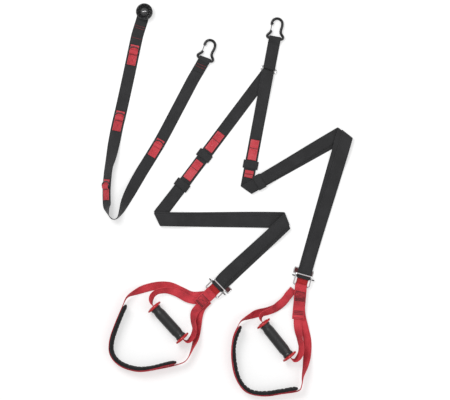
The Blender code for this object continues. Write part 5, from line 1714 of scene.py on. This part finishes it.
def handle_strap(side, kind, rows):
    """Narrow red strap whose ends are sewn into the yoke."""
    name = side + "_" + kind + "_strap"
    ribbon = Ribbon(rows, HANDLE_STRAP_FINENESS)
    piece = strap_piece(name + "_woven", ribbon, "red_webbing", side + "_handle", [name])


# Foot pads: padded sleeve of cloth with two sewn channels, red taped rims and closed ends

PAD_CLOTH_WIDTH = 0.0432
PAD_CLOTH_THICKNESS = 0.0134
PAD_SECTION_STEPS = 36
PAD_FINENESS = 5
PAD_FULLNESS = 0.62                                     # lower is squarer
CHANNEL_PLACE_SHARES = (0.32, -0.32)
CHANNEL_WIDTH_SHARE = 0.07
CHANNEL_DEPTH_SHARE = 0.34
END_SWELL_SHARE = 0.30
END_WIDTH_SHARE = 0.90
END_SWELL_LENGTH = 0.012
END_NARROW_LENGTH = 0.010
CREASE_PITCH = 0.0135
CREASE_DEPTH = {"left": 0.0008, "right": 0.0016}
CREASE_INNER_SHARE = 1.2
CREASE_OUTER_SHARE = 0.4
CREASE_DRIFT = 2.2
CREASED_PAST = 0.002
RUFFLED_PAST = 0.001
RUFFLE = 0.0006
RUFFLE_ALONG = 45                                       # how fine the noise is, as in the next ones
RUFFLE_ACROSS = 60
RUFFLE_UP = 200
DRIFT_ALONG = 16
DRIFT_ACROSS = 20
DRIFT_SEED = 3.0
WOBBLE_ALONG = 60
WOBBLE_SEED = 5.0
TAPE_OUTER = 0.0012
TAPE_INNER = 0.0008
TAPE_STEPS = 10
TAPE_START_DEGREES = -80
TAPE_PITCH = 0.0016
TAPE_WOBBLE = 0.0002
TAPE_WIDTH_SHARE = 0.49
TAPE_THICKNESS_SHARE = 0.515
TAPE_REACH_DEGREES = {"left": (70, 8), "right": (46, 46)}
TAPE_TURN_SHARES = (0.18, 0.60)


def fullness(lift):
    """Squares off a round section's outward share."""
    return math.copysign(abs(lift) ** PAD_FULLNESS, lift)


def pad_outline():
    """Cross-section round a quilted pad: (across, outward), pinched at each channel."""
    points = []
    for step in range(PAD_SECTION_STEPS):
        angle = math.tau * step / PAD_SECTION_STEPS
        across = math.cos(angle)
        channel = 1
        for place in CHANNEL_PLACE_SHARES:
            channel *= 1 - CHANNEL_DEPTH_SHARE * math.exp(-((across - place) / CHANNEL_WIDTH_SHARE) ** 2)
        points.append((across * PAD_CLOTH_WIDTH / 2,
                       fullness(math.sin(angle)) * channel * PAD_CLOTH_THICKNESS / 2))
    return points


def end_shares(distance, total):
    """How full and how wide the pad still is near its closed ends."""
    near_end = min(distance, total - distance)
    swell = blend(END_SWELL_SHARE, 1, min(1.0, near_end / END_SWELL_LENGTH) ** 0.5)
    return swell, blend(END_WIDTH_SHARE, 1, min(1.0, near_end / END_NARROW_LENGTH) ** 0.5)


def pad_rings(spec):
    """(place, outward, distance) along the pad."""
    places = smooth_path([place for place, across, normal in pad_frames(spec)], PAD_FINENESS)
    rings = []
    for index, distance in enumerate(distances(places)):
        before, after = neighbours(places, index)
        outward = (after - before).normalized().cross(Vector((0, 0, 1))).normalized()
        rings.append((places[index], outward, distance))
    return rings


def foot_pad(side, rings):
    """Quilted cloth, creased across by its bend, most on its inner face."""
    outline = pad_outline()
    verts = []
    uvs = []
    for place, outward, distance in rings:
        swell, narrow = end_shares(distance, rings[-1][2])
        run = 0.0
        for step, (across, lift) in enumerate(outline):
            drift = noise.noise(Vector((distance * DRIFT_ALONG, across * DRIFT_ACROSS, DRIFT_SEED)))
            crease = math.sin(distance * math.tau / CREASE_PITCH + CREASE_DRIFT * drift)
            face = CREASE_INNER_SHARE if lift > 0 else CREASE_OUTER_SHARE
            depth = CREASE_DEPTH[side] * max(0.0, crease) ** 3 * face
            out = lift * swell
            if abs(lift) > CREASED_PAST:
                out -= math.copysign(depth, lift)
            if abs(lift) > RUFFLED_PAST:
                spot = Vector((distance * RUFFLE_ALONG, across * RUFFLE_ACROSS, lift * RUFFLE_UP))
                out += RUFFLE * noise.noise(spot)
            verts.append(place + outward * out + Vector((0, 0, across * narrow)))
            uvs.append((run, distance))
            ahead = outline[(step + 1) % len(outline)]
            run += math.hypot(ahead[0] - across, ahead[1] - lift)
    obj = add_mesh(side + "_foot_pad_cloth", verts, ring_skin(len(rings), len(outline)), uvs)
    finish_piece(face_outward(obj), "pad_fabric", side + "_handle", [side + "_foot_pad"])


def tape_outline(reach):
    """Closed section of the tape, from the pad's outer face over its rim by `reach` degrees."""
    outline = []
    for off, way in ((TAPE_OUTER, 1), (-TAPE_INNER, -1)):
        for step in range(TAPE_STEPS + 1)[::way]:
            angle = math.radians(TAPE_START_DEGREES + reach * step / TAPE_STEPS)
            up, out = math.cos(angle), math.sin(angle)
            away = Vector((up * 0.5, out)).normalized() * off
            outline.append((fullness(out) * PAD_THICKNESS * TAPE_THICKNESS_SHARE + away.y,
                            up * PAD_WIDTH * TAPE_WIDTH_SHARE + away.x))
    return outline


def rim_tape(side, rings, tag, edge):
    """Red tape over one rim of the pad; its reach changes from one end of the pad to the other."""
    first, last = TAPE_REACH_DEGREES[side]
    start, stop = TAPE_TURN_SHARES
    total = rings[-1][2]
    verts = []
    uvs = []
    for place, outward, distance in rings:
        wobble = TAPE_WOBBLE * noise.noise(Vector((distance * WOBBLE_ALONG, edge, WOBBLE_SEED)))
        swell, narrow = end_shares(distance, total)
        share = min(1.0, max(0.0, (distance / total - start) / (stop - start)))
        outline = tape_outline(blend(first, last, share))
        for step, (out, up) in enumerate(outline):
            verts.append(place + outward * (out * swell + wobble) + Vector((0, 0, edge * up * narrow)))
            uvs.append((step * TAPE_PITCH, distance))
    obj = add_mesh(side + "_pad_binding_" + tag, verts, ring_skin(len(rings), len(outline)), uvs)
    finish_piece(face_outward(obj), "binding", side + "_handle")


# Grips: ribbed rubber sleeve, hollow core and two glossy dished flanges

GRIP_HALF = GRIP_LENGTH / 2
GRIP_STEPS = 96
GRIP_RIM = 0.0170
GRIP_NECK = 0.0152
GRIP_BODY = 0.0173
GRIP_BORE = 0.0146
GRIP_GROOVE = 0.00035
GRIP_GROOVE_PITCH = 0.0021
GRIP_RIM_SHARE = 0.93
GRIP_NECK_SHARE = 0.86
GRIP_GROOVED_SHARE = 0.84
GRIP_BODY_SHARE = 0.60
CORE_OUTSIDE = 0.0142
CORE_INSIDE = 0.0130
CORE_REACH_SHARE = 0.88
CORE_LIP = ((CORE_OUTSIDE, 0.0005), (0.0138, 0), (0.0133, 0), (CORE_INSIDE, 0.0004))
FLANGE_TURN_STEPS = 72
FLANGE_LIP = [(0.0145, FLANGE_THICKNESS - 0.0003), (0.0148, FLANGE_THICKNESS),
              (0.0164, FLANGE_THICKNESS), (0.0172, FLANGE_THICKNESS - 0.0006)]
FLANGE_FACE_SHARES = [(0.0180, 0.84), (0.0205, 0.80), (0.0222, 0.84), (0.0236, 0.84), (0.0247, 0.77),
                      (0.0253, 0.66), (FLANGE_RADIUS, 0.50), (0.0253, 0.34), (0.0247, 0.23), (0.0234, 0.14),
                      (0.0195, 0.06)]
FLANGE_SEAT = [(0.0172, 0.0002), (0.0168, 0.0), (GRIP_BORE, 0.0)]


def grip_radius(share):
    """Outside of the sleeve at a share of its half length: end rims, necks and a grooved body."""
    away = abs(share)
    if away > GRIP_RIM_SHARE:
        radius = GRIP_RIM
    elif away > GRIP_NECK_SHARE:
        turn = (GRIP_RIM_SHARE - away) / (GRIP_RIM_SHARE - GRIP_NECK_SHARE) * math.pi / 2
        radius = GRIP_RIM - (GRIP_RIM - GRIP_NECK) * math.sin(turn)
    else:
        rise = smooth_step((GRIP_NECK_SHARE - away) / (GRIP_NECK_SHARE - GRIP_BODY_SHARE))
        radius = blend(GRIP_NECK, GRIP_BODY, rise)
    if away < GRIP_GROOVED_SHARE:
        groove = 0.5 + 0.5 * math.cos(share * GRIP_HALF / GRIP_GROOVE_PITCH * math.pi)
        radius -= GRIP_GROOVE * groove ** 3
    return radius


def grip(side, matrix):
    """Sleeve, core and both flanges, turned about the grip's own Z."""
    body = side + "_grip"
    shares = [step / GRIP_STEPS * 2 - 1 for step in range(GRIP_STEPS + 1)]
    profile = [(grip_radius(share), share * GRIP_HALF) for share in shares]
    profile += [(GRIP_BORE, GRIP_HALF), (GRIP_BORE, -GRIP_HALF)]
    sleeve = lathe(side + "_grip_moulding", profile, matrix)
    finish_piece(crisp(sleeve, SLEEVE_CRISP_DEGREES), "rubber", body, [side + "_grip_sleeve"])
    reach = GRIP_HALF + FLANGE_THICKNESS * CORE_REACH_SHARE
    lip = [(radius, reach - inset) for radius, inset in CORE_LIP]
    core = lathe(side + "_grip_tube", lip + [(radius, -up) for radius, up in lip[::-1]], matrix)
    finish_piece(crisp(core), "black_plastic", body, [side + "_grip_core"])
    cap = FLANGE_LIP + [(radius, FLANGE_THICKNESS * share) for radius, share in FLANGE_FACE_SHARES]
    cap += FLANGE_SEAT
    for tag, angle in (("near", 0), ("far", math.pi)):
        place = matrix @ Matrix.Rotation(angle, 4, "X")
        place = place @ Matrix.Translation((0, 0, GRIP_HALF + CLEARANCE))
        flange = lathe(side + "_" + tag + "_flange_cap", cap, place, FLANGE_TURN_STEPS)
        finish_piece(crisp(flange, TURNED_CRISP_DEGREES), "red_plastic", body, [side + "_" + tag + "_flange"])


# Carabiners, their gates and the rings

HALF_BASE = CARABINER_BASE / 2
CROWN_LEVEL = CARABINER_HEIGHT - CARABINER_CROWN
CARABINER_PATH_STEPS = 6
CARABINER_SIDES = 24
GATE_SIDES = 12
RING_SIDES = 20
D_RING_SIDES = 14
GATE_BEND_STEPS = 12
RING_CORNER_STEPS = 8
# how far the painted-shade strip in the ring's slit sinks, as a share of the floor level
SHADE_STRIP_SINK_SHARE = 0.8


def carabiner_points(shares):
    return [Vector((HALF_BASE * across, CROWN_LEVEL * up, 0)) for across, up in shares]


def carabiner_path():
    """From the nose's gap round the base and over the crown."""
    right = carabiner_points(CARABINER_BASE_SHARES + CARABINER_WAIST_SHARES)
    left = [Vector((-point.x, point.y, 0)) for point in right]
    crown = [Vector((across, up, 0))
             for across, up in arc((0, CROWN_LEVEL), CARABINER_CROWN, CROWN_START_DEGREES,
                                   180 - CROWN_START_DEGREES, CROWN_STEPS)]
    path = left[:0:-1] + right + carabiner_points(CARABINER_SHOULDER_SHARES) + crown
    return smooth_path(path + carabiner_points(CARABINER_NOSE_SHARES), CARABINER_PATH_STEPS)


def carabiner(prefix, base, apex, gate_look):
    """Bent rod whose sprung wire gate runs from a pin at the waist over the nose and back."""
    matrix = flat_frame(plan(base, CARABINER_LEVEL), plan(apex) - plan(base))
    piece = tube(prefix + "_carabiner_frame", carabiner_path(), CARABINER_WIRE, CARABINER_SIDES, matrix)
    finish_piece(piece, "black_metal", prefix + "_carabiner", [prefix + "_carabiner"])
    waist, nose = carabiner_points([CARABINER_WAIST_SHARES[0], CARABINER_NOSE_SHARES[0]])
    pin = Vector((-waist.x, waist.y, 0))
    tip = nose + Vector((0, CARABINER_WIRE, 0))
    away = CARABINER_WIRE + CLEARANCE + GATE_WIRE
    spread = Vector((0, 0, away))
    inward = Vector((away, 0, 0))
    path = [pin + spread, (pin + tip) / 2 + spread, tip + spread]
    for step in range(1, GATE_BEND_STEPS):
        angle = math.pi * step / GATE_BEND_STEPS
        path.append(tip + spread * math.cos(angle) + inward * math.sin(angle))
    path += [tip - spread, (pin + tip) / 2 - spread, pin - spread]
    wire = tube(prefix + "_gate_wire", path, GATE_WIRE, GATE_SIDES, matrix)
    finish_piece(wire, gate_look, prefix + "_gate", [prefix + "_gate"])


def wire_loop(name, outline, wire, sides, matrix, height=0.0):
    """Closed loop of round wire along a flat outline, at a height in the matrix's own frame."""
    return tube(name, [(x, y, height) for x, y in outline], wire, sides, matrix, closed=True)


def apex_ring():
    """Chrome ring, with a dark strip in the slit between its two webbing rolls that paints the shade there.
    """
    outline = rounded_box(RING_LENGTH / 2 - RING_WIRE, RING_WIDTH / 2 - RING_WIRE, RING_WIDTH / 5,
                          RING_CORNER_STEPS)
    matrix = flat_frame(plan(RING_CENTRE_PIXEL, RING_LEVEL), left_of(ring_direction()))
    finish_piece(wire_loop("apex_ring_wire", outline, RING_WIRE, RING_SIDES, matrix), "chrome", "legs",
                 ["apex_ring"])
    # dark webbing strip laid in the slit where only shade falls: painted shade
    half = WEBBING_WIDTH / 2 - WEBBING_THICKNESS
    slit = RING_WIDTH / 2 - RING_WIRE - RING_WRAP
    drop = Vector((0, 0, RING_LEVEL - FLOOR_LEVEL * SHADE_STRIP_SINK_SHARE))
    rows = [tuple(matrix @ Vector((way * half, slit * share, 0)) - drop for way in (1, -1))
            for share in (-1, -0.5, 0, 0.5, 1)]
    strap_piece("apex_painted_shade_strip", Ribbon(rows), "black_webbing", "legs", [], WEBBING_THICKNESS / 2)


def d_ring(index):
    """The last ring's bow points the other way along the strap."""
    name = "anchor_d_ring_%d" % (index + 1)
    toward = 1 if index == len(TAB_PIXELS) - 1 else -1
    ring = wire_loop(name + "_wire", d_ring_outline(), D_RING_WIRE, D_RING_SIDES,
                     d_ring_place(tab_frames(index), toward))
    finish_piece(ring, "black_metal", name, [name])


# Buckles: bent frame, floating bar, thumb tab with its bail, and the red tongue behind them

BUCKLE_SIDES = 18
BAIL_SIDES = 14
BAR_TURN_STEPS = 32
BUCKLE_CORNER_STEPS = 7
BAIL_CORNER_STEPS = 6
BAR_GROOVE_FROM = 0.0023
BAR_GROOVE_TO = 0.0033
BAR_GROOVE_BEVEL = 0.0002
BAR_NECK_SHARE = 0.8
BAR_END_SHARE = 0.75
BAR_CHAMFER = 0.0007
PLATE_HALF_WIDTH = RELEASE_TAB_WIDTH / 2
PLATE_MIDDLE = RELEASE_TAB_START + PLATE_HALF_WIDTH
PLATE_TOP = TAB_PLATE_THICKNESS * 0.9                   # leaves the ribs room in the tab's thickness
PLATE_BEVEL = 0.0007
PLATE_EDGE = 0.0004
PLATE_EDGE_SHARE = 0.25                                 # of the thickness, eased along the long edges
PLATE_RIBS = 3
RIB_PITCH = 0.0028
RIB_INSET = 0.00075
RIB_HALF_WIDTH = 0.00112
RIB_HEIGHT = 0.0012
RIB_STEPS = 8
TONGUE_NEAR = 0.004
TONGUE_FAR = -0.0222
TONGUE_STEPS = 8


def buckle_frame(side, matrix):
    """Rounded frame that rises from the yoke's bar to the bright bar."""
    depth = BUCKLE_BRIGHT_BAR + BUCKLE_LOWER_BAR
    middle = (BUCKLE_BRIGHT_BAR - BUCKLE_LOWER_BAR) / 2
    points = []
    for x, y in rounded_box(BUCKLE_HALF_WIDTH, depth / 2, 2 * BUCKLE_WIRE, BUCKLE_CORNER_STEPS):
        share = (middle + y + BUCKLE_LOWER_BAR) / depth
        points.append((x, middle + y, blend(LOWER_BAR_LEVEL, BRIGHT_BAR_LEVEL, share)))
    piece = tube(side + "_buckle_frame_wire", points, BUCKLE_WIRE, BUCKLE_SIDES, matrix, closed=True)
    finish_piece(piece, "buckle_chrome", "legs", [side + "_buckle_frame"])


def floating_bar(side, matrix):
    """Round bar with a chamfer and a groove near each end."""
    reach = FLOATING_BAR_HALF_LENGTH
    wire = FLOATING_BAR_WIRE
    neck = wire * BAR_NECK_SHARE
    end = [(0, reach), (wire * BAR_END_SHARE, reach), (wire, reach - BAR_CHAMFER),
           (wire, reach - BAR_GROOVE_FROM), (neck, reach - BAR_GROOVE_FROM - BAR_GROOVE_BEVEL),
           (neck, reach - BAR_GROOVE_TO + BAR_GROOVE_BEVEL), (wire, reach - BAR_GROOVE_TO)]
    place = matrix @ Matrix.Translation((0, 0, FLOATING_BAR_LEVEL)) @ Matrix.Rotation(math.pi / 2, 4, "Y")
    bar = lathe(side + "_floating_bar_pin", [(x, -y) for x, y in end] + end[::-1], place, BAR_TURN_STEPS,
                closed=False)
    finish_piece(crisp(bar), "black_metal", side + "_bar", [side + "_floating_bar"])


def release_bail(side, matrix, shift):
    """Wire that runs round the thumb tab."""
    gap = RELEASE_WIRE + 2 * CLEARANCE
    outline = rounded_box(RELEASE_TAB_LENGTH / 2 + gap, PLATE_HALF_WIDTH + gap, gap + PLATE_EDGE,
                          BAIL_CORNER_STEPS)
    outline = [(shift + x, PLATE_MIDDLE + y) for x, y in outline]
    bail = wire_loop(side + "_release_bail", outline, RELEASE_WIRE, BAIL_SIDES, matrix, RELEASE_WIRE)
    finish_piece(bail, "chrome", side + "_release", [side + "_release_wire"])


def release_plate(side, matrix, shift):
    """Thumb plate with rounded ribs at its free end, edges eased."""
    toward = 1 if shift > 0 else -1
    half = RELEASE_TAB_LENGTH / 2
    level = PLATE_TOP / 2
    outline = [(-half, PLATE_BEVEL), (PLATE_BEVEL - half, 0), (half - PLATE_BEVEL, 0), (half, PLATE_BEVEL),
               (half, PLATE_TOP - PLATE_BEVEL)]
    for rib in range(PLATE_RIBS):
        centre = half - RIB_INSET - RIB_PITCH * (rib + 0.5)
        for step in range(RIB_STEPS + 1):
            angle = math.pi * step / RIB_STEPS
            outline.append((centre + RIB_HALF_WIDTH * math.cos(angle),
                            PLATE_TOP + RIB_HEIGHT * math.sin(angle)))
    outline += [(PLATE_BEVEL - half, PLATE_TOP), (-half, PLATE_TOP - PLATE_BEVEL)]
    eased = PLATE_HALF_WIDTH - PLATE_EDGE
    verts = []
    layers = [(-PLATE_HALF_WIDTH, PLATE_EDGE), (-eased, 0.0), (eased, 0.0), (PLATE_HALF_WIDTH, PLATE_EDGE)]
    for depth, inset in layers:
        for x, z in outline:
            verts.append((x * (1 - inset / half) * toward + shift, PLATE_MIDDLE + depth,
                          level + (z - level) * (1 - inset / PLATE_EDGE * PLATE_EDGE_SHARE)))
    obj = add_mesh(side + "_release_plate", verts, ring_skin(len(layers), len(outline)), matrix=matrix)
    finish_piece(crisp(face_outward(obj), PLATE_CRISP_DEGREES), "release_plastic", side + "_release",
                 [side + "_release_tab"])


def yoke_tongue(side, matrix):
    """Red backing strap seen between the webbing's roll and the yoke, lying on the floor."""
    rows = []
    for step in range(TONGUE_STEPS + 1):
        along = blend(TONGUE_NEAR, TONGUE_FAR, step / TONGUE_STEPS)
        rows.append(tuple(matrix @ Vector((way * TONGUE_WIDTH / 2, along, FLOOR_LEVEL)) for way in (1, -1)))
    ribbon = Ribbon(rows)
    piece = strap_piece(side + "_tongue_woven", ribbon, "red_tongue", "legs", [])


# Door disc: moulded puck with blind holes between ribs, and a bright pin across its hub

DISC_STEPS = 96
DISC_HOLES = 12
HOLED_FROM = 0.0125
HOLED_TO = 0.0225
HOLE_MIDDLE = 0.0175
HOLE_HALF_WIDTH = 0.0036
HOLE_HALF_LENGTH = 0.0046
HOLE_DEPTH = 0.0062
HOLE_FLOOR_SHARE = 0.72
DISC_RADIUS = 0.0260
DISC_FACE = [(0.0001, 0.0020), (0.0084, 0.0020), (0.0094, 0.0022), (0.0102, 0.0040), (0.0108, 0.0040),
             (0.0116, 0.0040), (0.0135, 0.0030), (0.0155, 0.0024), (0.0175, 0.0018), (0.0195, 0.0014),
             (0.0210, 0.0013), (0.0222, 0.0008), (0.0234, 0.0), (0.0247, 0.0003), (0.0256, 0.0012),
             (DISC_RADIUS, 0.0026)]
DISC_SIDE = [(DISC_RADIUS, 0.0150), (0.0256, 0.0146), (0.0256, 0.0134), (DISC_RADIUS, 0.0130),
             (DISC_RADIUS, 0.0026), (0.0252, 0.0008), (0.0234, 0.0), (0.0001, 0.0)]
PIN_TURN_STEPS = 24
PIN_RADIUS = 0.0020
PIN_HALF_LENGTH = 0.0072
PIN_CHAMFER = 0.0005
PIN_SINK = 0.0018
PIN_TURN_DEGREES = 8


def hole_drop(radius, angle):
    """How far the face drops into the nearest blind hole."""
    turn = (angle / math.tau * DISC_HOLES) % 1 - 0.5
    x = turn * math.tau / DISC_HOLES * radius
    away = math.hypot(x / HOLE_HALF_WIDTH, (radius - HOLE_MIDDLE) / HOLE_HALF_LENGTH)
    if away >= 1:
        return 0
    wall = max(0.0, (away - HOLE_FLOOR_SHARE) / (1 - HOLE_FLOOR_SHARE))
    return HOLE_DEPTH * (1 - wall ** 2)


def disc():
    """Turned puck whose face drops into the blind holes."""
    centre = plan(DISC_PIXEL, DISC_LIFT)
    profile = [(radius, DISC_HEIGHT - drop) for radius, drop in DISC_FACE] + DISC_SIDE
    count = len(profile)
    verts = []
    for step in range(DISC_STEPS):
        angle = math.tau * step / DISC_STEPS
        for radius, level in profile:
            if HOLED_FROM < radius < HOLED_TO and level > DISC_HEIGHT / 2:
                level -= hole_drop(radius, angle)
            verts.append((radius * math.cos(angle), radius * math.sin(angle), level))
    faces = turned_skin(DISC_STEPS, count, closed=False)
    faces.append(tuple(step * count for step in range(DISC_STEPS))[::-1])
    faces.append(tuple(step * count + count - 1 for step in range(DISC_STEPS)))
    obj = add_mesh("anchor_disc_moulding", verts, faces, matrix=Matrix.Translation(centre))
    finish_piece(crisp(face_outward(obj), TURNED_CRISP_DEGREES), "black_plastic", "anchor_strap",
                 ["anchor_disc"])


def disc_pin():
    """Chamfered pin that lies across the hub."""
    end = [(0, PIN_HALF_LENGTH), (PIN_RADIUS - PIN_CHAMFER, PIN_HALF_LENGTH),
           (PIN_RADIUS, PIN_HALF_LENGTH - PIN_CHAMFER)]
    place = Matrix.Translation(plan(DISC_PIXEL, DISC_LIFT) + Vector((0, 0, DISC_HEIGHT - PIN_SINK)))
    place = place @ Matrix.Rotation(math.radians(PIN_TURN_DEGREES), 4, "Z")
    pin = lathe("anchor_disc_pin", [(x, -y) for x, y in end] + end[::-1],
                place @ Matrix.Rotation(math.pi / 2, 4, "Y"), PIN_TURN_STEPS, closed=False)
    finish_piece(crisp(pin), "chrome", "anchor_strap")


# Everything, in order

leg_webbing()
keepers()
for (side, tag), pixels in MARKER_PIXELS.items():
    marker(side + "_" + tag + "_marker", marker_rows(LEGS[side], pixels))
top_loop()
anchor_webbing()
for index in range(len(TAB_PIXELS)):
    anchor_tab("anchor_tab_%d" % (index + 1), ring_tab_rows(tab_frames(index)))
for side, spec in HANDLES.items():
    yoke(side, spec)
    handle_strap(side, "handle", handle_strap_rows(spec))
    handle_strap(side, "cradle", cradle_strap_rows(spec))
for side, spec in HANDLES.items():
    rings = pad_rings(spec)
    foot_pad(side, rings)
    rim_tape(side, rings, "upper", 1)
    rim_tape(side, rings, "lower", -1)
for side, spec in HANDLES.items():
    grip(side, grip_matrix(spec))
carabiner("top", TOP_CARABINER_PIXEL, TOP_CARABINER_APEX_PIXEL, "black_metal")
carabiner("anchor", ANCHOR_CARABINER_PIXEL, ANCHOR_APEX_PIXEL, "steel")
apex_ring()
for index in range(len(TAB_PIXELS)):
    d_ring(index)
for side, leg in LEGS.items():
    buckle_frame(side, buckle_matrix(leg))
    floating_bar(side, buckle_matrix(leg))
    release_bail(side, buckle_matrix(leg), RELEASE_TAB_SHIFTS[side])
for side, leg in LEGS.items():
    release_plate(side, buckle_matrix(leg), RELEASE_TAB_SHIFTS[side])
    yoke_tongue(side, buckle_matrix(leg))
disc()
disc_pin()
floor()
world()
camera()
area_light("key", **KEY_LIGHT)
area_light("fill", **FILL_LIGHT)
bpy.context.scene.view_settings.view_transform = "Standard"
